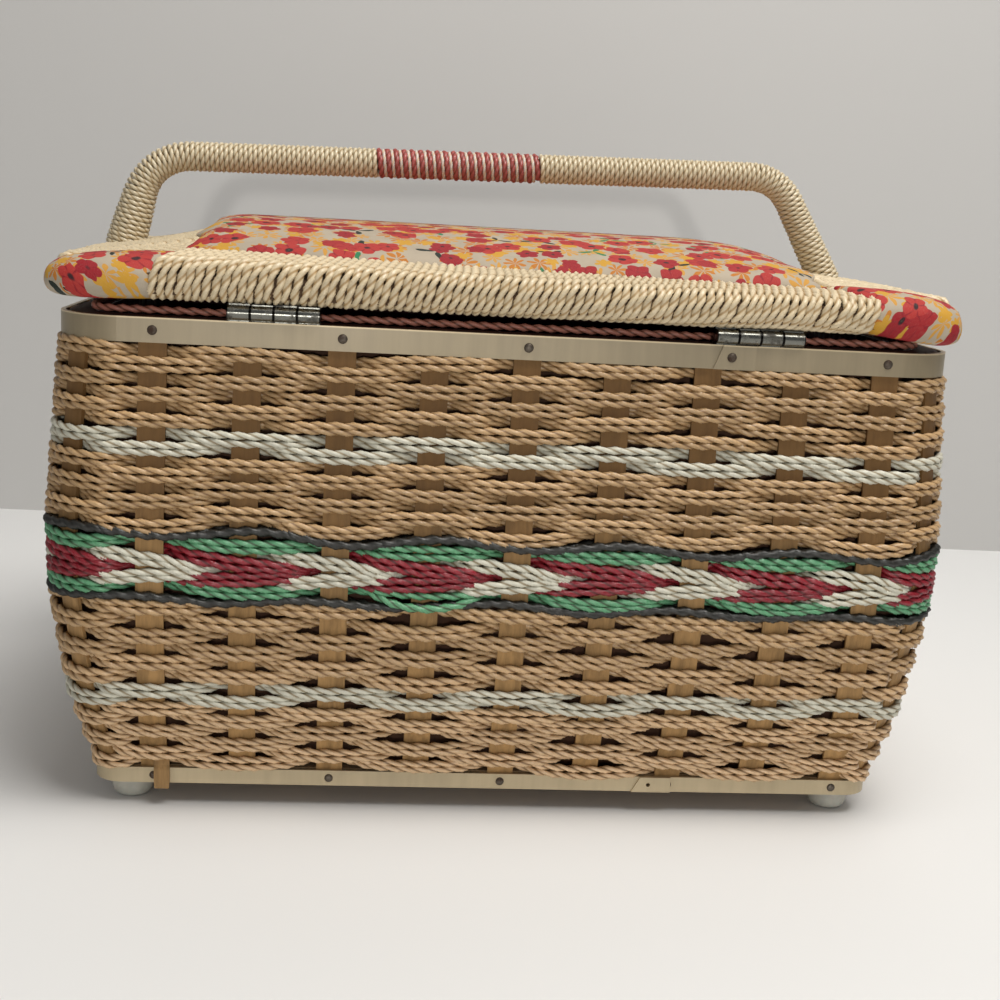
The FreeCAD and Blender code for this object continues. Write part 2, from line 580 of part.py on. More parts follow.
grip_way = (grip_to - grip_from).normalize()
side_way = V(0, 1, 0)
top_way = grip_way.cross(side_way)
turn_radius = core_radius + mm("grip_sleeve_thick + grip_cord_gap + grip_cord / 2")
grip_margin = mm("grip_end_gap + grip_cord / 2")
turns = int(mm("grip_turns"))
pitch = ((grip_to - grip_from).Length - 2 * grip_margin) / turns


def turn_point(angle):
    """A point of the winding and its direction, by the angle wound so far."""
    round_part = side_way * math.cos(angle) + top_way * math.sin(angle)
    forward = top_way * math.cos(angle) - side_way * math.sin(angle)
    rise = grip_way * (pitch / (2 * math.pi * turn_radius))
    place = grip_from + grip_way * (grip_margin + pitch * angle / (2 * math.pi)) + round_part * turn_radius
    return place, (forward + rise).normalize()


quarters = [turn_point(number * math.pi / 2) for number in range(4 * turns + 1)]
winding = []
for (begin, begin_way), (end, end_way) in zip(quarters, quarters[1:]):
    winding += biarc(begin, begin_way, end, end_way)
tail = mm("grip_cord")
lead_in = Part.LineSegment(quarters[0][0] - quarters[0][1] * tail, quarters[0][0]).toShape()
lead_out = Part.LineSegment(quarters[-1][0], quarters[-1][0] + quarters[-1][1] * tail).toShape()
winding_path = Part.Wire([lead_in] + winding + [lead_out])
keep("grip_winding", feature("grip_winding", tube(winding_path, mm("grip_cord / 2"))))
samples = [turn_point(number * math.pi / 24)[0] for number in range(48 * turns + 1)]
apart = pitch
for number, here in enumerate(samples):
    for other in samples[number + 24:number + 96]:
        apart = min(apart, (here - other).Length)
print("grip winding: %d turns, least gap to itself %.2f mm" % (turns, apart - mm("grip_cord")))

# Latch: a wire loop in a barrel on the rim, and a knob on the lid that it swings over
LATCH_BACK = "corner_axis_y + " + BAND_FACE
plate = slab("latch_flat", ("- latch_plate_half", "latch_plate_half"),
             (LATCH_BACK, LATCH_BACK + " + latch_plate_thick"),
             (RIM_LOW + " + latch_inset", RIM + " - latch_inset"))
block = slab("latch_block", ("- latch_barrel_half", "latch_barrel_half"), (LATCH_BACK, LATCH_Y),
             (LATCH_Z + " - latch_barrel_radius", LATCH_Z + " + latch_barrel_radius"))
barrel_end = ("- latch_barrel_half", LATCH_Y, LATCH_Z)
barrel = rod("latch_barrel", "x", barrel_end, "latch_barrel_radius", "2 * latch_barrel_half")
bore = rod("latch_bore", "x", barrel_end, "latch_wire / 2 + latch_gap", "2 * latch_barrel_half")
bracket = joined("latch_bracket", "Cut", fused("latch_blank", [plate, block, barrel]), bore)
keep("latch_plate", joined("latch_plate", "Cut", bracket, all_holes))
loop_y, loop_z = mm(LATCH_Y), mm(LATCH_Z)
loop_half, loop_low = mm("latch_half"), mm(LATCH_Z) - mm("latch_drop")
loop_points = [V(0, loop_y, loop_z), V(loop_half, loop_y, loop_z), V(loop_half, loop_y, loop_low),
               V(-loop_half, loop_y, loop_low), V(-loop_half, loop_y, loop_z), V(0, loop_y, loop_z)]
loop_path = rounded_path(loop_points, [mm("latch_bend")])
keep("latch_loop", feature("latch_loop", tube(loop_path, mm("latch_wire / 2"))))

knob_z = KNOB_Z
stem = rod("knob_stem", "y", ("0", LID_Y + " - knob_stem", knob_z), "knob_stem_radius", "knob_stem")
neck = rod("knob_neck", "y", ("0", LID_Y, knob_z), "knob_neck_radius", "knob_neck")
head = rod("knob_head", "y", ("0", LID_Y + " + knob_neck", knob_z), "knob_radius", "knob_head - knob_dome")
dome_start = ("0", LID_Y + " + knob_neck + knob_head - knob_dome", knob_z)
dome = rod("knob_dome", "y", dome_start, "knob_radius", "knob_dome", "knob_radius - knob_dome")
keep("latch_knob", fused("latch_knob", [stem, neck, head, dome]))
knob_tool = rod("knob_hole", "y", ("0", LID_Y + " - knob_stem - hole_gap", knob_z),
                "knob_stem_radius + hole_gap", "knob_stem + hole_gap")

# Rails of the lid: four wound stretches and four cloth corners, with room for what goes through them
lid_tools = doc.addObject("Part::Compound", "lid_sockets")
lid_tools.Links = [core_tool, peg_tool, lid_holes, knob_tool]
keep("lid_frame", joined("lid_frame", "Cut", frame_blank, lid_tools))
FAR_X, FAR_Y = LID_X + " + wrap_thick", LID_Y + " + wrap_thick"
UP = (LID, CREST)
stretches = {
    "lid_wrap_back": (("- " + WRAP_X, WRAP_X), ("- ( %s )" % FAR_Y, "- " + PANEL_Y)),
    "lid_wrap_front": (("- " + WRAP_X, WRAP_X), (PANEL_Y, FAR_Y)),
    "lid_wrap_left": (("- ( %s )" % FAR_X, "- " + PANEL_X), ("- " + PANEL_Y, PANEL_Y)),
    "lid_wrap_right": ((PANEL_X, FAR_X), ("- " + PANEL_Y, PANEL_Y)),
}
for wrap_name, (across, along) in stretches.items():
    part_skin = joined(wrap_name + "_skin", "Common", lid_skin, slab(wrap_name + "_span", across, along, UP))
    keep(wrap_name, joined(wrap_name, "Cut", part_skin, lid_tools))
corner_blocks = doc.addObject("Part::Compound", "corner_blocks")
blocks = []
for place, right, far in foot_places:
    across = ("- ( %s )" % FAR_X, "- " + WRAP_X) if right else (WRAP_X, FAR_X)
    along = ("- ( %s )" % FAR_Y, "- " + PANEL_Y) if far else (PANEL_Y, FAR_Y)
    blocks.append(slab("corner_block_" + place, across, along, UP))
corner_blocks.Links = blocks
keep("lid_corner_cloth", joined("lid_corner_cloth", "Common", lid_skin, corner_blocks))

# Lid panel: lining, board and a padded cushion
INSET = "panel_corner - panel_gap"
keep("lid_lining", loop_pad("lid_lining", PANEL, [INSET], LID, "lid_lining_thick"))
BOARD_LOW = LID + " + lid_lining_thick"
keep("lid_board", loop_pad("lid_board", PANEL, [INSET], BOARD_LOW, "board_thick"))
CUSHION_LOW = BOARD_LOW + " + board_thick"


def cushion_section(x, crown):
    """One slice of the cushion: flat below, straight sides and an arched top."""
    half = mm(PANEL_Y + " - panel_gap")
    bottom, edge = mm(CUSHION_LOW), mm(CUSHION_LOW + " + cushion_edge")
    corners = [V(x, -half, edge), V(x, -half, bottom), V(x, half, bottom), V(x, half, edge)]
    lines = [Part.LineSegment(begin, end).toShape() for begin, end in zip(corners, corners[1:])]
    arch = Part.Arc(corners[3], V(x, 0, edge + crown), corners[0]).toShape()
    return Part.Wire(lines + [arch])


cushion_half = mm(PANEL_X + " - panel_gap")
SWELL = ((-1, 0.1), (-0.8, 0.72), (-0.45, 0.96), (0, 1), (0.45, 0.96), (0.8, 0.72), (1, 0.1))
slices = [cushion_section(share * cushion_half, swell * mm("cushion_crown")) for share, swell in SWELL]
cushion_block = feature("cushion_block", Part.makeLoft(slices, True, False))
cushion_edge = loop_pad("cushion_edge", PANEL, [INSET], CUSHION_LOW, "cushion_edge + cushion_crown")
keep("lid_cushion", joined("lid_cushion", "Common", cushion_block, cushion_edge))

# Every piece is tested, moved so that the part stands over the middle of its outline, and written out
doc.recompute()
failed = [thing.Name for thing in doc.Objects if "Invalid" in thing.State or "Error" in thing.State]
if failed:
    raise RuntimeError("failed: " + ", ".join(failed))
front = mm(LID_Y + " + knob_neck + knob_head")
back = mm("corner_axis_y + belly_top_reach + strand")
middle = V(0, (back - front) / 2, 0)
os.makedirs("parts", exist_ok=True)
for name, thing in nodes.items():
    shape = thing.Shape.copy()
    if shape.isNull() or not shape.isValid() or not shape.Solids:
        raise RuntimeError("bad shape: " + name)
    shape.translate(middle)
    shape.exportStep("parts/%s.step" % name)
print("%d sub-parts, moved %.2f mm along Y" % (len(nodes), middle.y))
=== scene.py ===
"""Woven sewing basket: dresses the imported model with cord, cloth, wood and metal."""
import json
import math
import random

import bmesh
import bpy
from mathutils import Matrix, Vector

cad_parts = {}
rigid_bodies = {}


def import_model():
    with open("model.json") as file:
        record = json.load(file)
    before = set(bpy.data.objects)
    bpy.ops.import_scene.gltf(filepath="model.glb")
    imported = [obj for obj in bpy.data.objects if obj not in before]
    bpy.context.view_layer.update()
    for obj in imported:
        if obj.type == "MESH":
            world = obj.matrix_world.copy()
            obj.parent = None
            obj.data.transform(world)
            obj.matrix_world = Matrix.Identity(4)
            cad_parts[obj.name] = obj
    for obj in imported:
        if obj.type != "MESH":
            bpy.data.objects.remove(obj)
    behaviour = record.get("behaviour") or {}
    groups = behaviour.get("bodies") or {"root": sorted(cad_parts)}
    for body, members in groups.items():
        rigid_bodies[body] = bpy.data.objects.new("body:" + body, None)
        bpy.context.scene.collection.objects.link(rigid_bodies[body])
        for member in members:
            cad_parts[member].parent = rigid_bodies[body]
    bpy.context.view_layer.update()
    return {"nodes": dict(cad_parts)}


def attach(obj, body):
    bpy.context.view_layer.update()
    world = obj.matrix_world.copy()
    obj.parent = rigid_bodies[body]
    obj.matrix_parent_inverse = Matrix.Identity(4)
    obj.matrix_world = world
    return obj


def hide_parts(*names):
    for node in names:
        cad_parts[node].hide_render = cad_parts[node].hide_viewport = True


bl_info = {
    "name": "Woven Sewing Basket",
    "version": (1, 0, 0),
    "blender": (4, 5, 0),
    "location": "View3D > Sidebar > Basket",
    "description": "Builds the cord, cloth and fittings of a woven sewing basket over its packed model",
    "category": "Object",
}

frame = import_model()
MM = 0.001
MID_Y = -2.5


# Settings

def length_property(name, description, length):
    return bpy.props.FloatProperty(name=name, description=description, default=length * MM, unit="LENGTH")


def colour_property(name, description, default):
    return bpy.props.FloatVectorProperty(name=name, description=description, subtype="COLOR", size=3, default=default)


class BasketCord(bpy.types.PropertyGroup):
    """Sizes of the cord and of its windings."""

    lay: length_property("Lay", "Length of one full twist", 11.4)
    step: length_property("Step", "Distance between cross sections", 0.95)
    rail_pitch: length_property("Rail pitch", "Distance between turns on the lid rails", 2.8)
    handle_pitch: length_property("Handle pitch", "Distance between turns on the handle", 1.8)
    grip_turns: bpy.props.IntProperty(name="Grip turns", description="Red turns on the grip", default=19)


class BasketColours(bpy.types.PropertyGroup):
    """Colours of the finishes."""

    natural: colour_property("Natural cord", "Weaving cord", (0.51, 0.328, 0.158))
    rail: colour_property("Rail cord", "Cord on the lid rails", (0.72, 0.59, 0.385))
    white: colour_property("White cord", "White courses", (0.62, 0.60, 0.49))
    green: colour_property("Green cord", "Green courses", (0.118, 0.345, 0.175))
    red: colour_property("Red cord", "Red courses", (0.275, 0.011, 0.022))
    dark: colour_property("Dark cord", "Twined courses", (0.021, 0.021, 0.018))
    stake: colour_property("Stakes", "Split wood", (0.37, 0.22, 0.09))
    band: colour_property("Bands", "Cream strips", (0.48, 0.39, 0.245))
    lining: colour_property("Lining", "Satin inside", (0.085, 0.008, 0.016))
    braid: colour_property("Braid", "Twisted braid on the rim", (0.54, 0.21, 0.15))
    ground: colour_property("Print ground", "Ground of the printed cloth", (0.385, 0.325, 0.245))


# Shader nodes

class Value:
    """A shader socket that takes part in sums."""

    def __init__(self, finish, socket):
        self.finish = finish
        self.socket = socket

    def _maths(self, operation, *values):
        return self.finish.maths(operation, *values)

    def __add__(self, other):
        return self._maths("ADD", self, other)

    def __radd__(self, other):
        return self._maths("ADD", other, self)

    def __sub__(self, other):
        return self._maths("SUBTRACT", self, other)

    def __rsub__(self, other):
        return self._maths("SUBTRACT", other, self)

    def __mul__(self, other):
        return self._maths("MULTIPLY", self, other)

    def __rmul__(self, other):
        return self._maths("MULTIPLY", other, self)

    def __truediv__(self, other):
        return self._maths("DIVIDE", self, other)

    def size(self):
        return self._maths("ABSOLUTE", self)

    def wave(self):
        return self._maths("SINE", self)

    def share(self):
        return self._maths("FRACT", self)

    def above(self, limit):
        return self._maths("GREATER_THAN", self, limit)

    def ease(self, low, high, start=0.0, end=1.0):
        """Runs smoothly from start to end as the value goes from low to high."""
        sockets = {"Value": self, "From Min": low, "From Max": high, "To Min": start, "To Max": end}
        return self.finish.node("ShaderNodeMapRange", {"interpolation_type": "SMOOTHSTEP"}, sockets)[0]


class Finish:
    """One material and the nodes that make it."""

    def __init__(self, name, **constants):
        self.material = bpy.data.materials.new(name)
        self.material.use_nodes = True
        self.tree = self.material.node_tree
        self.shader = self.tree.nodes["Principled BSDF"]
        for socket, value in constants.items():
            self.shader.inputs[socket.replace("_", " ")].default_value = value

    def node(self, kind, settings=None, sockets=None):
        """Adds a node, sets it up and links it; gives its outputs in order."""
        made = self.tree.nodes.new(kind)
        for key, value in (settings or {}).items():
            setattr(made, key, value)
        for key, value in (sockets or {}).items():
            self.link(value, made.inputs[key])
        return [Value(self, socket) for socket in made.outputs]

    def link(self, value, socket):
        if isinstance(value, Value):
            self.tree.links.new(value.socket, socket)
        elif value is not None:
            socket.default_value = value

    def feed(self, **sockets):
        """Links values to the surface shader."""
        for name, value in sockets.items():
            self.link(value, self.shader.inputs[name.replace("_", " ")])

    def maths(self, operation, *values):
        return self.node("ShaderNodeMath", {"operation": operation}, dict(enumerate(values)))[0]

    def vector(self, operation, *values):
        return self.node("ShaderNodeVectorMath", {"operation": operation}, dict(enumerate(values)))

    def scaled(self, vector, scale):
        return self.node("ShaderNodeVectorMath", {"operation": "SCALE"}, {0: vector, "Scale": scale})[0]

    def combined(self, *parts):
        return self.node("ShaderNodeCombineXYZ", {}, dict(enumerate(parts)))[0]

    def parts(self, vector):
        return self.node("ShaderNodeSeparateXYZ", {}, {0: vector})

    def mix(self, factor, first, second):
        """Mixes two colours, each a constant or a link."""
        first, second = (tuple(part) + (1.0,) if isinstance(part, tuple) else part for part in (first, second))
        return self.node("ShaderNodeMix", {"data_type": "RGBA"}, {0: factor, 6: first, 7: second})[2]

    def attribute(self, name):
        return self.node("ShaderNodeAttribute", {"attribute_name": name})[2]

    def place(self):
        return self.node("ShaderNodeTexCoord")[3]

    def height(self):
        """Height above the floor."""
        return self.parts(self.place())[2]

    def noise(self, vector, scale, detail=2.0, rough=0.5):
        sockets = {"Vector": vector, "Scale": scale, "Detail": detail, "Roughness": rough}
        return self.node("ShaderNodeTexNoise", {}, sockets)[0]

    def stretch(self, vector, scale):
        return self.node("ShaderNodeMapping", {}, {"Vector": vector, "Scale": scale})[0]

    def bump(self, height, strength, distance):
        normal = self.node("ShaderNodeBump", {}, {"Height": height, "Strength": strength, "Distance": distance})[0]
        self.feed(Normal=normal)

    def open_behind(self):
        """Leaves nothing to be seen of the back of the faces."""
        back = self.node("ShaderNodeNewGeometry")[6]
        clear = self.node("ShaderNodeBsdfTransparent")[0]
        both = self.node("ShaderNodeMixShader", {}, {0: back, 1: Value(self, self.shader.outputs[0]), 2: clear})[0]
        self.link(both, self.tree.nodes["Material Output"].inputs["Surface"])


def tint(colour, factor):
    return tuple(min(1.0, part * factor) for part in colour)


# Shift of hue for the painted shade in the crease between plies, and the span of the random mottling that runs from
# dark to a painted silky highlight
CREASE_SHADE_HUE = (1.05, 0.82, 0.54)
TONE_SPAN = (0.0, 0.62)


def cord_finish(name, colour, gloss=0.36, crease=0.42, spread=0.16, floor_bounce=False):
    """Twisted cord: plies with painted shade in a narrow crease, fine fibres and a silky gloss with a painted
    highlight; the last argument makes it paler lower down as painted light bounced from the floor.
    """
    finish = Finish(name, Specular_IOR_Level=0.55)
    # Painted shade: the crease between the plies, darkened and shifted in hue
    crease_shade = tuple(part * share for part, share in zip(tint(colour, crease), CREASE_SHADE_HUE))
    # Painted silky highlight: paler and whiter than the cord, the bright end of the random mottling
    painted_highlight = tuple(part * 1.26 + 0.045 * max(colour) for part in colour)
    ply = finish.attribute("ply")
    along = finish.attribute("along")
    strand = finish.attribute("strand")
    fibres = finish.noise(finish.combined(ply * 2.2, along * 260.0, strand * 40.0), 2.6, 3.0, 0.6)
    patch = finish.noise(finish.combined(along * 22.0, strand * 60.0, 0.0), 1.0, 2.0)
    # The crease between the plies, where the painted shade lies
    groove = ply.size().ease(0.0, 0.62)
    tone = (strand * spread + patch * (spread * 1.4) + fibres * 0.24).ease(*TONE_SPAN)
    lit = finish.mix(tone, tint(colour, 0.64), painted_highlight)
    # Painted bounce light from the floor: the cord turns paler and greyer lower down
    if floor_bounce:
        pale = finish.mix(tone, tuple(part + 0.05 for part in colour), tuple(part * 1.55 + 0.17 for part in colour))
        lit = finish.mix(finish.height().ease(0.085, 0.0), lit, pale)
    finish.feed(Base_Color=finish.mix(groove, crease_shade, lit))
    finish.feed(Roughness=gloss + 0.22 * fibres - 0.08 * groove)
    finish.bump(fibres, 0.45, 0.25 * MM)
    return finish.material


def wood_finish(name, colour, axis="Z", gloss=0.5, lid_shade=False):
    """Split wood with long grain; when asked for, darker towards the rim as painted shade under the lid."""
    finish = Finish(name, Specular_IOR_Level=0.2)
    scale = {"X": (25.0, 420.0, 420.0), "Y": (420.0, 25.0, 420.0), "Z": (420.0, 420.0, 25.0)}[axis]
    grain = finish.noise(finish.stretch(finish.place(), scale), 1.0, 4.0, 0.65)
    patch = finish.noise(finish.place(), 38.0, 2.0)
    tone = grain * 0.75 + patch * 0.35
    base = finish.mix(tone.ease(0.32, 0.78), tint(colour, 0.62), tint(colour, 1.28))
    if lid_shade:
        # Painted shade under the lid: darker brown towards the rim
        base = finish.mix(finish.height().ease(0.085, 0.125) * 0.75, base, (0.135, 0.066, 0.02))
    finish.feed(Base_Color=base)
    finish.feed(Roughness=gloss + 0.2 * grain)
    finish.bump(grain, 0.35, 0.25 * MM)
    return finish.material


def band_finish(colour):
    """Aged cream strip: faint vertical streaks and small scuffs; the top band darker as painted shade under the lid,
    with a painted highlight along its upper edge.
    """
    finish = Finish("band_cream", Metallic=0.25, Specular_IOR_Level=0.6)
    streak = finish.noise(finish.stretch(finish.place(), (260.0, 260.0, 18.0)), 1.0, 3.0, 0.6)
    patch = finish.noise(finish.place(), 26.0, 3.0, 0.6)
    height = finish.height()
    tone = (streak * 0.45 + patch * 0.6).ease(0.3, 0.8)
    # The top band (above 0.1 m) is a darker copy: painted shade under the lid's overhang
    bottom = finish.mix(tone, tint(colour, 0.84), tint(colour, 1.10))
    top = finish.mix(tone, tint(colour, 0.50), tint(colour, 0.66))
    base = finish.mix(height.above(0.1), bottom, top)
    # A painted highlight along the upper edge of the top band
    finish.feed(Base_Color=finish.mix(height.ease(0.1684, 0.1688), base, tint(colour, 1.2)))
    finish.feed(Roughness=0.28 + 0.22 * patch)
    finish.bump(patch * 0.6 + streak * 0.3, 0.2, 0.3 * MM)
    return finish.material


def metal_finish(name, colour, rust, rough=0.34, amount=0.5, joints=None):
    """Plated steel with dull tarnish in patches; joints, given as first place and pitch along X, get painted shade in
    the slits between knuckles.
    """
    finish = Finish(name)
    patch = finish.noise(finish.place(), 210.0, 4.0, 0.65)
    fine = finish.noise(finish.place(), 1500.0, 2.0)
    stain = patch.ease(0.62 - 0.3 * amount, 0.78 - 0.2 * amount)
    base = finish.mix(stain, colour, rust)
    if joints:
        across = finish.parts(finish.place())[0].size()
        share = ((across - joints[0]) / joints[1] + 0.5).share()
        # Painted shade: a near-black line in the slit between two knuckles
        base = finish.mix((share - 0.5).size().ease(0.075, 0.04), base, (0.006, 0.005, 0.004))
    finish.feed(Base_Color=base)
    finish.feed(Metallic=1.0 - 0.55 * stain)
    finish.feed(Roughness=rough + 0.30 * stain + 0.12 * fine)
    finish.bump(patch * 0.7 + fine * 0.3, 0.25, 0.2 * MM)
    return finish.material


def plastic_finish(name, colour):
    """Moulded plastic, dulled by handling."""
    finish = Finish(name, Subsurface_Weight=0.08)
    patch = finish.noise(finish.place(), 120.0, 3.0, 0.6)
    finish.feed(Base_Color=finish.mix(patch.ease(0.35, 0.75), tint(colour, 0.82), tint(colour, 1.08)))
    finish.feed(Roughness=0.28 + 0.25 * patch)
    finish.bump(patch, 0.12, 0.3 * MM)
    return finish.material


def satin_finish(name, colour):
    """Satin with fine threads and a soft sheen."""
    finish = Finish(name, Sheen_Weight=0.25, Sheen_Roughness=0.35)
    threads = finish.noise(finish.stretch(finish.place(), (2600.0, 2600.0, 500.0)), 1.0, 2.0)
    patch = finish.noise(finish.place(), 45.0, 2.0)
    tone = threads * 0.5 + patch * 0.6
    finish.feed(Base_Color=finish.mix(tone.ease(0.25, 0.85), tint(colour, 0.65), tint(colour, 1.5)))
    finish.feed(Roughness=0.38 + 0.2 * threads)
    finish.bump(threads, 0.25, 0.2 * MM)
    return finish.material


def card_finish(name, colour):
    """Grey-brown card with flecks."""
    finish = Finish(name)
    fleck = finish.noise(finish.place(), 900.0, 3.0, 0.7)
    patch = finish.noise(finish.place(), 60.0, 2.0)
    tone = fleck * 0.6 + patch * 0.4
    finish.feed(Base_Color=finish.mix(tone.ease(0.3, 0.75), tint(colour, 0.75), tint(colour, 1.15)))
    finish.feed(Roughness=0.75 + 0.15 * fleck)
    finish.bump(fleck, 0.2, 0.2 * MM)
    return finish.material


def blossoms(finish, place, cell, radius, petals, petal, offset):
    """Scattered flowers: mask, distance from the middle, three numbers for each flower, distance from a petal's line.

    petal is where a petal's middle lies and its half length and half width, in shares of the radius."""
    circle = 2 * math.pi
    moved = finish.node("ShaderNodeMapping", {}, {"Vector": place, "Location": offset})[0]
    cells = finish.node("ShaderNodeTexVoronoi", {"voronoi_dimensions": "2D", "feature": "F1"},
                        {"Vector": moved, "Scale": 1.0 / cell, "Randomness": 0.8})
    away = finish.vector("SUBTRACT", moved, cells[2])[0]
    x, y, _ = finish.parts(away)
    number = finish.node("ShaderNodeSeparateColor", {}, {0: cells[1]})
    reach = finish.vector("LENGTH", away)[1] / ((0.78 + 0.32 * number[2]) * radius)
    turns = finish.maths("ARCTAN2", y, x) * (petals / circle) + number[1] * 7.0
    fold = (turns.share() - 0.5) * (circle / petals)
    along = (reach * (fold + math.pi / 2).wave() - petal[0]) / petal[1]
    across = reach * fold.wave() / petal[2]
    mask = (along * along + across * across).ease(1.10, 0.92)
    return mask, reach, number, fold.size() * (petals / math.pi)


def floral_finish(ground):
    """Printed cotton: red poppies, orange and yellow sprays and green leaves on a pale ground."""
    finish = Finish("printed_cotton", Specular_IOR_Level=0.25)
    uv = finish.node("ShaderNodeUVMap", {"uv_map": "cloth"})[0]
    flat = finish.scaled(uv, 1 / MM)
    warp = finish.node("ShaderNodeTexNoise", {}, {"Vector": flat, "Scale": 0.17, "Detail": 2.0})[1]
    place = finish.vector("ADD", flat, finish.scaled(warp, 2.6))[0]
    wash = finish.noise(flat, 0.09, 3.0)
    base = finish.mix(wash.ease(0.35, 0.7), tint(ground, 0.94), tint(ground, 1.06))
    spray, _, spray_number, _ = blossoms(finish, place, 8.6, 4.7, 7, (0.62, 0.36, 0.17), (17.0, 5.0, 0.0))
    colour = finish.mix(spray_number[1].above(0.5), (0.45, 0.16, 0.02), (0.52, 0.26, 0.042))
    base = finish.mix(spray * spray_number[0].above(0.06), base, colour)
    yellow, reach, yellow_number, _ = blossoms(finish, place, 9.8, 4.0, 6, (0.50, 0.46, 0.30), (61.0, 23.0, 0.0))
    colour = finish.mix(reach.ease(0.30, 0.15), (0.51, 0.27, 0.026), (0.41, 0.125, 0.015))
    base = finish.mix(yellow * yellow_number[0].above(0.30), base, colour)
    leaf, _, leaf_number, _ = blossoms(finish, place, 21.0, 6.5, 3, (0.58, 0.42, 0.17), (3.0, 41.0, 0.0))
    colour = finish.mix(leaf_number[1].above(0.45), (0.008, 0.016, 0.012), (0.02, 0.17, 0.07))
    base = finish.mix(leaf * leaf_number[0].above(0.40), base, colour)
    for cell, radius, rare, offset in ((12.4, 5.3, 0.22, (0.0, 0.0, 0.0)), (15.5, 4.4, 0.55, (31.0, 77.0, 0.0))):
        poppy, reach, number, edge = blossoms(finish, place, cell, radius, 5, (0.50, 0.50, 0.47), offset)
        colour = finish.mix(number[2].ease(0.2, 0.8), (0.27, 0.007, 0.014), (0.38, 0.026, 0.022))
        colour = finish.mix(edge.ease(0.72, 1.0) * reach.ease(0.2, 0.6), colour, (0.22, 0.004, 0.012))
        colour = finish.mix(reach.ease(0.36, 0.26), colour, (0.030, 0.006, 0.010))
        colour = finish.mix(reach.ease(0.20, 0.14), colour, (0.05, 0.18, 0.07))
        base = finish.mix(poppy * number[0].above(rare), base, colour)
    threads = finish.noise(finish.stretch(flat, (7.0, 1.2, 1.0)), 1.0)
    finish.feed(Base_Color=finish.mix(threads.ease(0.4, 0.8) * 0.08, base, (0.60, 0.55, 0.47)))
    finish.feed(Roughness=0.6 + 0.2 * threads)
    finish.bump(threads + wash, 0.15, 0.3 * MM)
    return finish.material


FINISHES = {}

# First joint between two knuckles and the distance to the next, along X from the middle
HINGE_JOINTS = (0.0642, 0.0074)


def make_finishes(colours):
    """All the materials, by the words the pieces use for them."""
    FINISHES.update({
        # The natural cord is paler lower down: painted light bounced from the floor.
        "natural": cord_finish("cord_natural", tuple(colours.natural), 0.26, 0.36, 0.16, True),
        "rail": cord_finish("cord_rail", tuple(colours.rail), 0.28, 0.52, 0.12),
        "handle": cord_finish("cord_handle", (0.50, 0.43, 0.295), 0.18, 0.66, 0.30),
        "core": wood_finish("core_dark", (0.10, 0.06, 0.035), "X", 0.7),
        "white": cord_finish("cord_white", tuple(colours.white), 0.34, 0.38),
        "green": cord_finish("cord_green", tuple(colours.green), 0.24, 0.24),
        "red": cord_finish("cord_red", tuple(colours.red), 0.26, 0.28),
        "grip": cord_finish("cord_grip", (0.34, 0.066, 0.056), 0.30, 0.50),
        "sleeve": cord_finish("cord_sleeve", (0.72, 0.63, 0.54), 0.34, 0.85, 0.08),
        "dark": cord_finish("cord_dark", tuple(colours.dark), 0.34, 0.35),
        "braid": cord_finish("braid_red", tuple(colours.braid), 0.34, 0.25),
        # The stakes take painted shade under the lid towards the rim.
        "stake": wood_finish("stake_wood", tuple(colours.stake), lid_shade=True),
        "board": wood_finish("board_wood", (0.40, 0.27, 0.15), "X", 0.6),
        "stain": wood_finish("stained_wood", (0.05, 0.018, 0.018), "X", 0.55),
        "knob": wood_finish("knob_wood", (0.16, 0.07, 0.03), "Y", 0.28),
        "band": band_finish(tuple(colours.band)),
        "nail": metal_finish("nail_steel", (0.13, 0.11, 0.09), (0.055, 0.03, 0.018), 0.42, 0.7),
        "hinge": metal_finish("hinge_steel", (0.19, 0.19, 0.17), (0.05, 0.045, 0.035), 0.16, 0.55, HINGE_JOINTS),
        "latch": metal_finish("latch_steel", (0.52, 0.50, 0.46), (0.16, 0.13, 0.10), 0.28, 0.35),
        "foot": plastic_finish("foot_plastic", (0.47, 0.455, 0.40)),
        "lining": satin_finish("lining_satin", tuple(colours.lining)),
        # The backing is dark as painted shade: it shows only through the gaps in the weave.
        "backing": card_finish("lining_backing_shade", (0.075, 0.030, 0.013)),
        "card": card_finish("panel_card", (0.30, 0.21, 0.13)),
        "floral": floral_finish(tuple(colours.ground)),
    })


# Geometry nodes

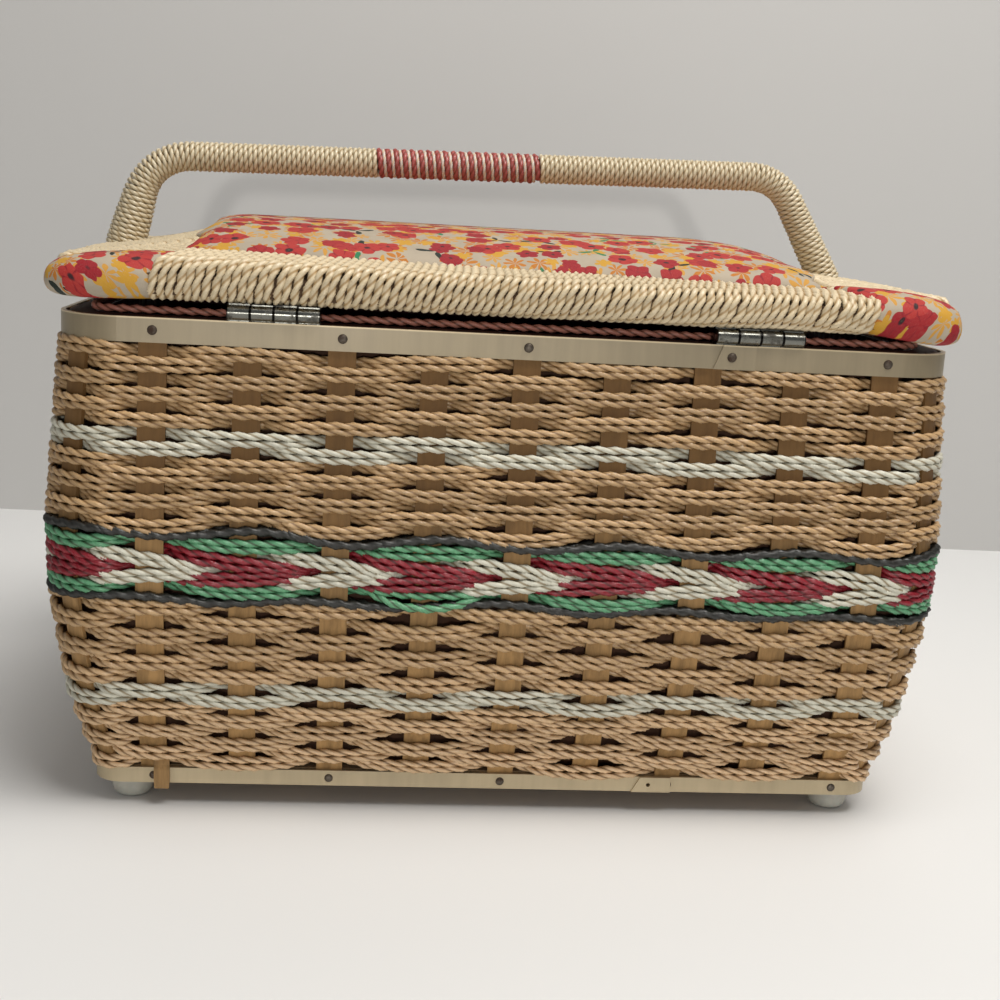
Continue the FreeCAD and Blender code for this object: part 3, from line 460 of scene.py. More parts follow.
class Tree:
    """A geometry node tree and its named inputs."""

    def __init__(self, name, inputs):
        self.tree = bpy.data.node_groups.new(name, "GeometryNodeTree")
        face = self.tree.interface
        face.new_socket("Geometry", in_out="INPUT", socket_type="NodeSocketGeometry")
        self.ids = {}
        for label, kind in inputs:
            socket = face.new_socket(label, in_out="INPUT", socket_type="NodeSocket" + kind)
            self.ids[label] = socket.identifier
        face.new_socket("Geometry", in_out="OUTPUT", socket_type="NodeSocketGeometry")
        self.given = self.tree.nodes.new("NodeGroupInput")
        self.result = self.tree.nodes.new("NodeGroupOutput")

    def node(self, kind, settings=None, sockets=None):
        made = self.tree.nodes.new(kind)
        for key, value in (settings or {}).items():
            setattr(made, key, value)
        for key, value in (sockets or {}).items():
            self.link(value, made.inputs[key])
        return made

    def link(self, value, socket):
        if isinstance(value, bpy.types.NodeSocket):
            self.tree.links.new(value, socket)
        else:
            socket.default_value = value

    def out(self, kind, sockets=None, **settings):
        """Adds a node and gives its first output."""
        return self.node(kind, settings, sockets).outputs[0]

    def maths(self, operation, *values):
        return self.out("ShaderNodeMath", dict(enumerate(values)), operation=operation)

    def store(self, geometry, name, value, domain):
        sockets = {"Geometry": geometry, "Name": name, "Value": value}
        return self.out("GeometryNodeStoreNamedAttribute", sockets, data_type="FLOAT", domain=domain)

    def named(self, name, kind):
        return self.out("GeometryNodeInputNamedAttribute", {"Name": name}, data_type=kind)

    def finish(self, geometry, material):
        """Ends the tree with real geometry in its material."""
        real = self.out("GeometryNodeRealizeInstances", {"Geometry": geometry})
        done = self.out("GeometryNodeSetMaterial", {"Geometry": real, "Material": material})
        self.link(done, self.result.inputs[0])
        return self


def cord_tree():
    """Turns paths into twisted cord of two plies."""
    tree = Tree("twisted_cord", [("Step", "Float"), ("Lay", "Float"), ("Width", "Float"), ("Groove", "Float"),
                                 ("Material", "Material")])
    given = tree.given.outputs
    smooth = tree.out("GeometryNodeCurveSplineType", {"Curve": given[0]}, spline_type="CATMULL_ROM")
    runs = tree.out("GeometryNodeResampleCurve", {"Curve": smooth, "Length": given["Step"]}, mode="LENGTH")
    travel = tree.node("GeometryNodeSplineParameter").outputs["Length"]
    number = tree.out("GeometryNodeInputIndex")
    chance = tree.node("FunctionNodeRandomValue", {"data_type": "FLOAT"}, {"ID": number, "Seed": 7}).outputs[1]
    marked = tree.store(runs, "strand", chance, "CURVE")
    marked = tree.store(marked, "along", travel, "POINT")
    strand = tree.named("strand", "FLOAT")
    whole = tree.out("GeometryNodeSplineLength")
    twists = tree.maths("ROUND", tree.maths("DIVIDE", whole, given["Lay"]))
    share = tree.maths("DIVIDE", tree.maths("MULTIPLY", travel, twists), whole)
    turn = tree.maths("MULTIPLY", share, 2.0 * math.pi)
    tilt = tree.maths("ADD", turn, tree.maths("MULTIPLY", strand, 6.28))
    twisted = tree.out("GeometryNodeSetCurveTilt", {"Curve": marked, "Tilt": tilt})
    ring = tree.out("GeometryNodeCurvePrimitiveCircle", {"Resolution": 8, "Radius": 1.0}, mode="RADIUS")
    spot = tree.out("GeometryNodeInputPosition")
    sides = tree.node("ShaderNodeSeparateXYZ", {}, {0: spot}).outputs
    angle = tree.maths("ARCTAN2", sides[1], sides[0])
    ring = tree.store(ring, "ply", tree.maths("COSINE", angle), "POINT")
    lobes = tree.maths("COSINE", tree.maths("MULTIPLY", angle, 2.0))
    swell = tree.maths("ADD", 1.0, tree.maths("MULTIPLY", lobes, given["Groove"]))
    reach = tree.maths("MULTIPLY", given["Width"], swell)
    place = tree.out("ShaderNodeVectorMath", {0: spot, "Scale": reach}, operation="SCALE")
    profile = tree.out("GeometryNodeSetPosition", {"Geometry": ring, "Position": place})
    mesh = tree.out("GeometryNodeCurveToMesh", {"Curve": twisted, "Profile Curve": profile, "Fill Caps": True})
    return tree.finish(tree.out("GeometryNodeSetShadeSmooth", {"Geometry": mesh}), given["Material"])


def stud_tree():
    """Puts a domed head on each point, aimed along its attribute."""
    tree = Tree("studs", [("Radius", "Float"), ("Height", "Float"), ("Material", "Material")])
    given = tree.given.outputs
    ball = tree.out("GeometryNodeMeshUVSphere", {"Segments": 14, "Rings": 8, "Radius": 1.0})
    flat = tree.out("ShaderNodeCombineXYZ", {0: given["Radius"], 1: given["Radius"], 2: given["Height"]})
    dome = tree.out("GeometryNodeTransform", {"Geometry": ball, "Scale": flat})
    dome = tree.out("GeometryNodeSetShadeSmooth", {"Geometry": dome})
    points = tree.out("GeometryNodeMeshToPoints", {"Mesh": given[0]})
    turn = tree.out("FunctionNodeAlignRotationToVector", {"Vector": tree.named("aim", "FLOAT_VECTOR")}, axis="Z")
    many = tree.out("GeometryNodeInstanceOnPoints", {"Points": points, "Instance": dome, "Rotation": turn})
    return tree.finish(many, given["Material"])


TREES = {}


def link_up(thing):
    bpy.context.scene.collection.objects.link(thing)
    return thing


def grown(name, source, tree, values):
    """Runs a tree on an object and keeps the plain mesh."""
    holder = link_up(bpy.data.objects.new(name + "_paths", source))
    modifier = holder.modifiers.new("tree", "NODES")
    modifier.node_group = tree.tree
    for label, value in values.items():
        modifier[tree.ids[label]] = value
    mesh = bpy.data.meshes.new_from_object(holder.evaluated_get(bpy.context.evaluated_depsgraph_get()))
    mesh.name = name
    bpy.data.objects.remove(holder)
    return link_up(bpy.data.objects.new(name, mesh))


def cords(name, paths, finish, width, groove=0.26, lay=None, step=None, closed=True):
    """A piece of twisted cord along paths given in millimetres; groove is how deep the plies part, as a share."""
    settings = bpy.context.scene.basket_cord
    curve = bpy.data.curves.new(name + "_path", "CURVE")
    curve.dimensions = "3D"
    for path in paths:
        spline = curve.splines.new("POLY")
        spline.points.add(len(path) - 1)
        for point, place in zip(spline.points, path):
            point.co = (place[0] * MM, place[1] * MM, place[2] * MM, 1.0)
        spline.use_cyclic_u = closed
    values = {"Step": step or settings.step, "Lay": lay or settings.lay, "Width": width / 2 * MM / (1 + groove),
              "Groove": groove, "Material": FINISHES[finish]}
    return grown(name, curve, TREES["cord"], values)


def studs(name, places, finish, radius, height):
    """Domed heads at places, each a point and an outward direction."""
    mesh = bpy.data.meshes.new(name + "_points")
    mesh.from_pydata([[part * MM for part in point] for point, _ in places], [], [])
    aim = mesh.attributes.new("aim", "FLOAT_VECTOR", "POINT")
    for number, (_, outward) in enumerate(places):
        aim.data[number].vector = outward
    values = {"Radius": radius * MM, "Height": height * MM, "Material": FINISHES[finish]}
    return grown(name, mesh, TREES["stud"], values)


def settle(piece, body, slot, *nodes):
    """A finished piece: what it rides on, a finish slot that is not used, and the solids it stands for."""
    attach(piece, body)
    if nodes:
        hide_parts(*nodes)
    return piece


def ring_faces(first, second, count):
    """Faces between two closed rings of points, each given by the number of its first point."""
    faces = []
    for number in range(count):
        ahead = (number + 1) % count
        faces.append((first + number, first + ahead, second + ahead, second + number))
    return faces


def mesh_piece(name, points, faces, finish, smooth=True):
    """A piece from points in millimetres."""
    mesh = bpy.data.meshes.new(name)
    mesh.from_pydata([[part * MM for part in point] for point in points], [], faces)
    build = bmesh.new()
    build.from_mesh(mesh)
    bmesh.ops.remove_doubles(build, verts=build.verts, dist=0.00001)
    bmesh.ops.recalc_face_normals(build, faces=build.faces)
    for face in build.faces:
        face.smooth = smooth
    build.to_mesh(mesh)
    build.free()
    mesh.materials.append(FINISHES[finish])
    return link_up(bpy.data.objects.new(name, mesh))


def lathe(name, outline, centre, finish, axis="Z", count=40):
    """A turned piece: outline is radius and height from the bottom middle to the top middle."""
    points, faces = [], []
    for radius, height in outline:
        for number in range(count):
            angle = 2 * math.pi * number / count
            spot = (radius * math.cos(angle), radius * math.sin(angle), height)
            if axis == "Y":
                spot = (spot[0], height, -spot[1])
            points.append([middle + part for middle, part in zip(centre, spot)])
    for ring in range(len(outline) - 1):
        faces += ring_faces(ring * count, (ring + 1) * count, count)
    return mesh_piece(name, points, faces, finish)


# Shape of the walls, as in the model

AXIS_X, AXIS_Y = 128.0, 85.0
PROFILE = ((8.0, 8.3), (13.5, 8.3), (40.3, 17.2), (75.6, 23.0), (101.0, 24.0), (161.0, 19.5), (169.0, 19.5))
STAKES_BACK = [-117.0 + 30.0 * number for number in range(9)]
STAKES_SIDE = [-76.25 + 30.5 * number for number in range(6)]
STAKES = 34
FULL_TURN = 6.2832
# Thickness of a weaving strand, and the points it has from one stake to the next
STRAND, STAKE_PARTS = 2.6, 10


def reach_at(height):
    """How far the outer faces of the stakes stand from the corner axes."""
    for (low, first), (high, second) in zip(PROFILE, PROFILE[1:]):
        if height <= high:
            return first + (second - first) * max(0.0, (height - low) / (high - low))
    return PROFILE[-1][1]


def stake_runs(reach):
    """Distance of each stake along the wall, from the left end of the hinge side, and the whole way round."""
    arc = reach * math.pi / 2
    side, end = 2 * AXIS_X, 2 * AXIS_Y
    runs = [place + AXIS_X for place in STAKES_BACK] + [side + arc / 2]
    start = side + arc
    runs += [start + place + AXIS_Y for place in STAKES_SIDE] + [start + end + arc / 2]
    start += end + arc
    runs += [start + AXIS_X - place for place in reversed(STAKES_BACK)] + [start + side + arc / 2]
    start += side + arc
    runs += [start + AXIS_Y + place for place in STAKES_SIDE] + [start + end + arc / 2]
    return runs, start + end + arc


def wall_point(run, reach, offset, height):
    """The point at a distance along the wall, an offset out from the stakes."""
    arc = reach * math.pi / 2
    corners = ((-AXIS_X, -AXIS_Y, 2 * AXIS_X, 0), (AXIS_X, -AXIS_Y, 2 * AXIS_Y, 1), (AXIS_X, AXIS_Y, 2 * AXIS_X, 2),
               (-AXIS_X, AXIS_Y, 2 * AXIS_Y, 3))
    for x, y, length, quarter in corners:
        way = quarter * math.pi / 2
        if run <= length:
            x, y, facing = x + math.cos(way) * run, y + math.sin(way) * run, way - math.pi / 2
            break
        run -= length
        if run <= arc or quarter == 3:
            x, y, facing = x + math.cos(way) * length, y + math.sin(way) * length, way - math.pi / 2 + run / reach
            break
        run -= arc
    out = reach + offset
    return x + math.cos(facing) * out, y + MID_Y + math.sin(facing) * out, height


def wander(seed):
    """A small smooth unevenness along the wall, the same on each run."""
    dice = random.Random(seed)
    waves = [(dice.uniform(0.6, 1.0), dice.randint(2, 9), dice.uniform(0, 6.28)) for _ in range(3)]
    return lambda share: sum(size * math.sin(FULL_TURN * count * share + phase) for size, count, phase in waves) / 3


def ease(share):
    """A smooth step from 0 to 1."""
    share = max(0.0, min(1.0, share))
    return share * share * (3 - 2 * share)


def course(height, parity, lift, seed, wave=0.0, loose=None):
    """One strand round the basket, over the stakes of one parity and under the others.

    lift gives the strand's height above the course, by stakes from the one it goes over and by how far it has
    gone under; wave is how much it follows the pattern's humps; loose gives an extra height and offset for one
    slack place."""
    reach = reach_at(height)
    runs, whole = stake_runs(reach)
    rise, sway = wander(seed), wander(seed + 500)
    dice = random.Random(int(height * 10))
    shifts = [dice.gauss(0.0, 0.42) for _ in range(STAKES)]
    path = []
    for stake in range(STAKES):
        start = runs[stake]
        length = (runs[(stake + 1) % STAKES] - start) % whole
        above = stake % 2 == parity
        for part in range(STAKE_PARTS):
            share = part / STAKE_PARTS
            phase = share if above else share - 1.0
            under = ease((abs(phase) - 0.46) / 0.44)
            run = (start + share * length) % whole
            place = run / whole
            out = STRAND / 2 + 0.1 - under * (STRAND + 1.6) + 0.15 * sway(place)
            up = height + 0.5 * rise(place) + lift(phase, under)
            up += shifts[stake] + (shifts[(stake + 1) % STAKES] - shifts[stake]) * ease(share)
            up -= wave * math.cos(math.pi * (stake + share))
            if loose:
                drop, slack = loose(stake + share)
                up, out = up + drop, out + slack
            path.append(wall_point(run, reach, out, up))
    return path


def paired(above, fat=STRAND, sag=0.0):
    """Lift of one strand of a pair: side by side and a little lower over a stake, drawn together under one."""
    side = 1.0 if above else -1.0
    return lambda phase, under: (side * (fat * 0.47 - 0.16 * ease(abs(phase) / 0.6) - 0.5 * under)
                                 + sag * (ease(abs(phase) / 0.8) - 0.5))


def knots(table):
    """A smooth curve through values given by stakes from the middle, repeating every two stakes."""
    places = sorted(table)

    def read(phase, under):
        phase = (phase + 1.0) % 2.0 - 1.0
        for low, high in zip(places, places[1:]):
            if low <= phase <= high:
                return table[low] + (table[high] - table[low]) * ease((phase - low) / (high - low))
        return table[places[-1]]
    return read


def swell(height):
    """How much a row follows the humps of the patterned band."""
    if height > 88.0:
        return 1.1 * math.exp(-max(0.0, height - 100.0) / 9.0)
    return -0.6 * math.exp(-max(0.0, 77.0 - height) / 9.0)


def pair_rows(name, rows, finish):
    """Courses of paired strands as one piece for each parity; the cord is as thick as the rows leave room for."""
    width = max(2.9, 0.35 + 0.575 * (rows[0][0] - rows[1][0]))
    for parity, word in ((1, "odd"), (0, "even")):
        paths = []
        for height, row_parity in rows:
            if row_parity == parity:
                sag = 1.2 - 0.8 * ease((height - 60.0) / 60.0)
                for above in (True, False):
                    seed = int(height * 10) + 3 * above
                    paths.append(course(height, parity, paired(above, 2.65, sag), seed, swell(height)))
        piece = cords("%s_%s" % (name, word), paths, finish, width)
        settle(piece, "basket", "cord_" + finish, name)


def spread_rows(top, bottom, count, first):
    """Heights of courses between two levels, with the parity of each, from the top down."""
    pitch = (top - bottom) / count
    return [(top - pitch * (number + 0.5), (first + number) % 2) for number in range(count)]


# Bands of paired courses: name, finish, top, bottom, number of courses and parity of the first
PAIRED_BANDS = (
    ("natural_high", "natural", 160.6, 134.0, 6, 1), ("white_high", "white", 134.0, 125.2, 2, 1),
    ("natural_middle", "natural", 125.2, 101.2, 6, 1), ("natural_low", "natural", 77.6, 47.2, 6, 0),
    ("white_low", "white", 47.2, 40.2, 2, 0), ("natural_base", "natural", 40.2, 13.8, 6, 0))
ARROWS = 88.4
# Height of each arrow strand above the middle of the arrows, by stakes from the one it goes over
RED_ARROW = (
    {-1: 2.6, -0.8: 6.3, -0.45: 5.3, 0: 3.9, 0.45: 2.5, 0.8: 0.9, 1: 2.6},
    {-1: 1.2, -0.8: 4.1, -0.45: 2.8, 0: 1.4, 0.45: 0.8, 0.8: 0.2, 1: 1.2},
    {-1: -1.2, -0.8: -2.2, -0.45: -1.9, 0: -1.2, 0.45: -0.6, 0.8: -0.2, 1: -1.2},
    {-1: -2.6, -0.8: -4.6, -0.45: -4.5, 0: -3.8, 0.45: -2.5, 0.8: -0.9, 1: -2.6})
WHITE_ARROW = (
    {-1: 3.0, -0.75: 6.6, -0.4: 5.6, 0: 3.9, 0.45: 1.6, 0.78: 0.5, 1: 3.0},
    {-1: 1.6, -0.75: 4.2, -0.4: 3.1, 0: 1.4, 0.45: 0.2, 0.78: -0.1, 1: 1.6},
    {-1: -1.6, -0.75: -3.2, -0.4: -2.6, 0: -1.5, 0.45: -0.7, 0.78: -0.5, 1: -1.6},
    {-1: -3.0, -0.75: -5.2, -0.4: -4.8, 0: -3.9, 0.45: -2.5, 0.78: -1.1, 1: -3.0})


class BASKET_OT_weave(bpy.types.Operator):
    """Weaves the walls from paired twisted cord"""

    bl_idname = "basket.weave"
    bl_label = "Woven walls"

    def execute(self, context):
        for word, finish, top, bottom, count, first in PAIRED_BANDS:
            pair_rows("weave_" + word, spread_rows(top, bottom, count, first), finish)
        self.pattern()
        return {"FINISHED"}

    def single(self, name, paths, finish, width, groove):
        settle(cords(name, paths, finish, width, groove), "basket", "cord_" + finish, name)

    def pattern(self):
        """The patterned band: dark twining, green curves and red and white arrows."""
        for word, height, hump in (("high", 99.8, 1.1), ("low", 78.2, -0.4)):
            twine = []
            for parity, side in ((0, -1), (1, 1)):
                cross = (lambda phase, under, side=side: side * 0.7 * math.sin(math.pi * phase))
                twine.append(course(height, parity, cross, 40 + parity, hump))
            self.single("weave_dark_" + word, twine, "dark", 3.6, 0.22)

        def slack(place):
            """One strand that hangs loose: its extra height and offset."""
            share = abs(place - 3.0) / 0.56
            hang = max(0.0, 1 - share ** 2)
            return 1.5 * math.exp(-((share - 1.15) / 0.35) ** 2) - 1.1 * hang, 1.7 * hang

        for word, height, ends, dip in (("high", 96.6, 0.6, 0.9), ("low", 81.2, 0.9, 1.5)):
            green = []
            for above in (True, False):
                bow = (lambda phase, under, pair=paired(above), ends=ends, dip=dip:
                       pair(phase, under) + ends - dip * ease(1 - abs(phase) / 0.8))
                hanging = slack if word == "low" and not above else None
                green.append(course(height, 1, bow, 60 + above, 0.0, hanging))
            self.single("weave_green_" + word, green, "green", 3.05, 0.24)
        paths = [course(ARROWS, 1, knots(table), 80 + number) for number, table in enumerate(RED_ARROW)]
        self.single("weave_arrow_red", paths, "red", 3.25, 0.22)
        for word, tables in (("high", WHITE_ARROW[:2]), ("low", WHITE_ARROW[2:])):
            paths = [course(ARROWS, 0, knots(table), 90 + number) for number, table in enumerate(tables)]
            self.single("weave_arrow_white_" + word, paths, "white", 3.05, 0.24)


def node_finish(finish, *nodes):
    """Gives solids that stay a better surface."""
    for node in nodes:
        piece = frame["nodes"][node]
        piece.data.materials.clear()
        piece.data.materials.append(FINISHES[finish])


def nail_places(reach, height, top):
    """Nails through every other stake, as in the model: beside a stake at the top band's lap, none at the latch."""
    places = []
    for number, x in enumerate(STAKES_BACK):
        if number % 2 == 0:
            lapped = top and number == 6
            back, out = (70.0, reach + 0.8) if lapped else (x, reach)
            places.append(((back, -AXIS_Y - out + MID_Y, height), (0, -1, 0)))
            if not top or abs(x) > 13:
                places.append(((x, AXIS_Y + reach + MID_Y, height), (0, 1, 0)))
    for number, y in enumerate(STAKES_SIDE):
        if number % 2 == 0:
            for side in (-1, 1):
                places.append(((side * (AXIS_X + reach), y + MID_Y, height), (side, 0, 0)))
    return places


# Outline of a foot, and levels of the loose stake end: height, distance out, left and right
FOOT = ((0, 1.6), (2.3, 1.6), (2.8, 1.2), (3.0, 0.15), (3.4, 0.0), (4.9, 0.0), (5.9, 0.35), (6.7, 1.3), (7.1, 2.8),
        (7.3, 4.8), (7.3, 6.6), (7.15, 7.95), (0, 7.95))
TAIL = ((18.0, 8.6, -116.9, -111.7), (14.6, 9.6, -116.9, -111.6), (13.2, 10.3, -116.8, -111.5),
        (9.0, 10.6, -116.7, -111.4), (6.6, 10.9, -116.4, -111.6))
FOOT_X, FOOT_Y = 125.8, 82.8
BRAID_REACH, BRAID_HEIGHT, BRAID_POINTS = 10.3, 170.6, 220


class BASKET_OT_rim(bpy.types.Operator):
    """Adds the rim braid, the nails and the turned feet"""

    bl_idname = "basket.rim"
    bl_label = "Rim, nails and feet"

    def execute(self, context):
        whole = stake_runs(BRAID_REACH)[1]
        path = [wall_point(whole * number / BRAID_POINTS, BRAID_REACH, 0.0, BRAID_HEIGHT)
                for number in range(BRAID_POINTS)]
        braid = cords("rim_braid_cord", [path], "braid", 2.9, 0.24, 9 * MM, 0.9 * MM)
        settle(braid, "basket", "braid_cord", "rim_braid")
        top = studs("top_nail_heads", nail_places(21.0, 165.0, True), "nail", 1.6, 0.8)
        settle(top, "basket", "nail_steel", "top_nails")
        bottom = studs("bottom_nail_heads", nail_places(9.8, 10.75, False), "nail", 1.5, 0.7)
        settle(bottom, "basket", "nail_steel", "bottom_nails")
        self.tail()
        for far, y in (("back", -FOOT_Y), ("front", FOOT_Y)):
            for side, x in (("left", -FOOT_X), ("right", FOOT_X)):
                name = "foot_%s_%s" % (far, side)
                foot = lathe(name + "_turned", FOOT, (x, y + MID_Y, 0.0), "foot")
                settle(foot, "basket", "foot_plastic", name)
        return {"FINISHED"}

    def tail(self):
        """The split end of the first stake, which hangs outside the bottom band."""
        points = []
        for height, out, left, right in TAIL:
            for x, y in ((left, 0.0), (right, 0.0), (right, 0.9), (left, 0.9)):
                points.append((x, -AXIS_Y - out - y + MID_Y, height))
        faces = [(0, 1, 2, 3), (19, 18, 17, 16)]
        for level in range(len(TAIL) - 1):
            faces += ring_faces(level * 4, level * 4 + 4, 4)
        settle(mesh_piece("stake_tail", points, faces, "stake", False), "basket", "stake_wood")


# Lid

# Half sizes of the lid and of its panel, height of the rails' edge, and for each side (-1 left, 1 right) where the
# winding ends and how much the side rail rises
LID_X, LID_Y, PANEL_X, PANEL_Y = 151.5, 110.0, 107.0, 87.0
LID_EDGE = 187.0
WOUND = {-1: 120.4, 1: 118.6}
SIDE_RISE = {-1: 6.6, 1: 3.4}


def dome(y):
    """Rise of the side rails towards the middle of the lid."""
    return max(0.0, 1.0 - (y / PANEL_Y) ** 2)


def rail_turns(section, start, end, pitch, place, seed, face):
    """One unbroken winding along a rail; section gives its outline at a distance along the rail.

    Each turn moves on by one pitch over the outline's points named by face, and lies straight on the others."""
    count = int(round((end - start) / pitch))
    step = (end - start) / count
    dice = random.Random(seed)
    path = []
    for turn in range(count):
        outline = section(start + (turn + 0.5) * step)
        lean = dice.gauss(0.0, 0.26)
        for number, (inset, height) in enumerate(outline):
            share = max(0.0, min(1.0, (number - face[0]) / (face[1] - face[0])))
            back = max(0.0, (number - face[1] - 2) / (len(outline) - face[1] - 3))
            along = start + (turn + 1.7 * share - 0.7 * back) * step
            along += lean * math.sin(math.pi * share) + dice.gauss(0.0, 0.06)
            path.append(place(along, inset + dice.gauss(0.0, 0.08), height + dice.gauss(0.0, 0.06)))
    return path


def back_section(along):
    """Outline of the rails along the hinge side and the front: inset from the edge, and height."""
    return [(19.0, 176.0), (11.0, 175.9), (4.6, 176.0), (2.3, 177.2), (1.5, 179.4), (1.4, 182.0), (1.6, 184.2),
            (3.0, 186.0), (6.5, 186.9), (12.0, 187.5), (17.5, 188.1), (20.4, 188.1), (21.6, 186.6), (21.6, 181.0),
            (20.9, 177.2)]


def side_section(along, side):
    """Outline of the side rails, which are domed, the left one more."""
    rise = dome(along)
    inner, outer = 187.4 + SIDE_RISE[side] * rise, 185.3 + 0.7 * rise
    bend = 0.85 + 0.6 * rise
    tops = [(inset, outer + (inner - outer) * (inset / 43.0) ** bend) for inset in (3.2, 8.0, 15.0, 23.0, 31.0, 38.0)]
    return ([(39.0, 176.0), (22.0, 175.9), (5.0, 176.0), (2.3, 177.2), (1.5, 179.6), (1.5, 182.6 + rise)] + tops
            + [(41.8, inner - 0.1), (43.1, inner - 1.8), (43.1, 181.0), (42.3, 177.2)])


class BASKET_OT_rails(bpy.types.Operator):
    """Winds the rails of the lid with cord"""

    bl_idname = "basket.rails"
    bl_label = "Wound lid rails"

    def execute(self, context):
        pitch = context.scene.basket_cord.rail_pitch / MM
        for name, far in (("lid_wrap_back", -1), ("lid_wrap_front", 1)):
            def place(along, inset, height, far=far):
                worn = -0.0105 * along * ease((height - 177.0) / 9.0)
                return along * (1 - 0.085 * inset / 23.0), far * (LID_Y - inset) + MID_Y, height + worn
            path = rail_turns(back_section, 1.5 - WOUND[-1], WOUND[1] - 1.5, pitch, place, 11 + far, (2, 8))
            piece = cords(name + "_cord", [path], "rail", 3.2, 0.22, 10.0 * MM, 0.85 * MM, False)
            settle(piece, "lid", "cord_natural", name)
        for name, side in (("lid_wrap_left", -1), ("lid_wrap_right", 1)):
            def place(along, inset, height, side=side):
                return side * (LID_X - inset), along * (1 + 0.035 * (1 - inset / 44.5)) + MID_Y, height
            path = rail_turns(lambda along: side_section(along, side), -PANEL_Y + 1.6, PANEL_Y - 1.6, pitch, place,
                              21 + side, (2, 6))
            piece = cords(name + "_cord", [path], "rail", 3.2, 0.20, 9.0 * MM, 1.0 * MM, False)
            settle(piece, "lid", "cord_natural", name)
        return {"FINISHED"}


def cloth_map(piece, read):
    """Lays the cloth's own measure on a piece: read gives flat metres for a point."""
    layer = piece.data.uv_layers.new(name="cloth")
    for loop in piece.data.loops:
        layer.data[loop.index].uv = read(piece.data.vertices[loop.vertex_index].co)


def plump(piece, pressure, cap, voxel=4.5, frames=20):
    """Swells a closed piece like stuffed cloth; no point moves further than the cap."""
    scene = bpy.context.scene
    work = link_up(bpy.data.objects.new(piece.name + "_work", piece.data.copy()))
    grid = work.modifiers.new("grid", "REMESH")
    grid.mode = "VOXEL"
    grid.voxel_size = voxel * MM
    work.data = bpy.data.meshes.new_from_object(work.evaluated_get(bpy.context.evaluated_depsgraph_get()))
    work.modifiers.clear()
    begin = [point.co.copy() for point in work.data.vertices]
    cloth = work.modifiers.new("cloth", "CLOTH")
    cloth.settings.use_pressure = True
    cloth.settings.uniform_pressure_force = pressure
    cloth.settings.effector_weights.gravity = 0.0
    for number in range(1, frames + 1):
        scene.frame_set(number)
    mesh = bpy.data.meshes.new_from_object(work.evaluated_get(bpy.context.evaluated_depsgraph_get()))
    scene.frame_set(1)
    for point, old in zip(mesh.vertices, begin):
        move = point.co - old
        if move.length > cap * MM:
            point.co = old + move * (cap * MM / move.length)
    bpy.data.objects.remove(work)
    materials = list(piece.data.materials)
    piece.data = mesh
    mesh.materials.clear()
    for material in materials:
        mesh.materials.append(material)
    for face in mesh.polygons:
        face.use_smooth = True


def soften(piece):
    """Adds one subdivision."""
    shape = piece.modifiers.new("round", "SUBSURF")
    shape.levels = shape.render_levels = 1


# Section of a cloth corner, from its inner point over the edge and back below: share of the way out, and height
CORNER = ((0.0, 189.6), (0.2, 189.4), (0.4, 189.1), (0.6, 188.5), (0.76, 187.5), (0.88, 186.0), (0.945, 184.6),
          (0.985, 182.4), (1.0, 179.9), (0.995, 177.6), (0.975, 175.8), (0.94, 174.8), (0.86, 174.5), (0.6, 174.5),
          (0.3, 174.5), (0.0, 174.5))
# Panel: bottom, crest and height along its edges, and how far it swells over each side rail
PANEL_LOW, PANEL_CREST, PANEL_EDGE = 179.2, 199.3, 189.3
PANEL_OVER = {-1: 7.2, 1: 3.4}


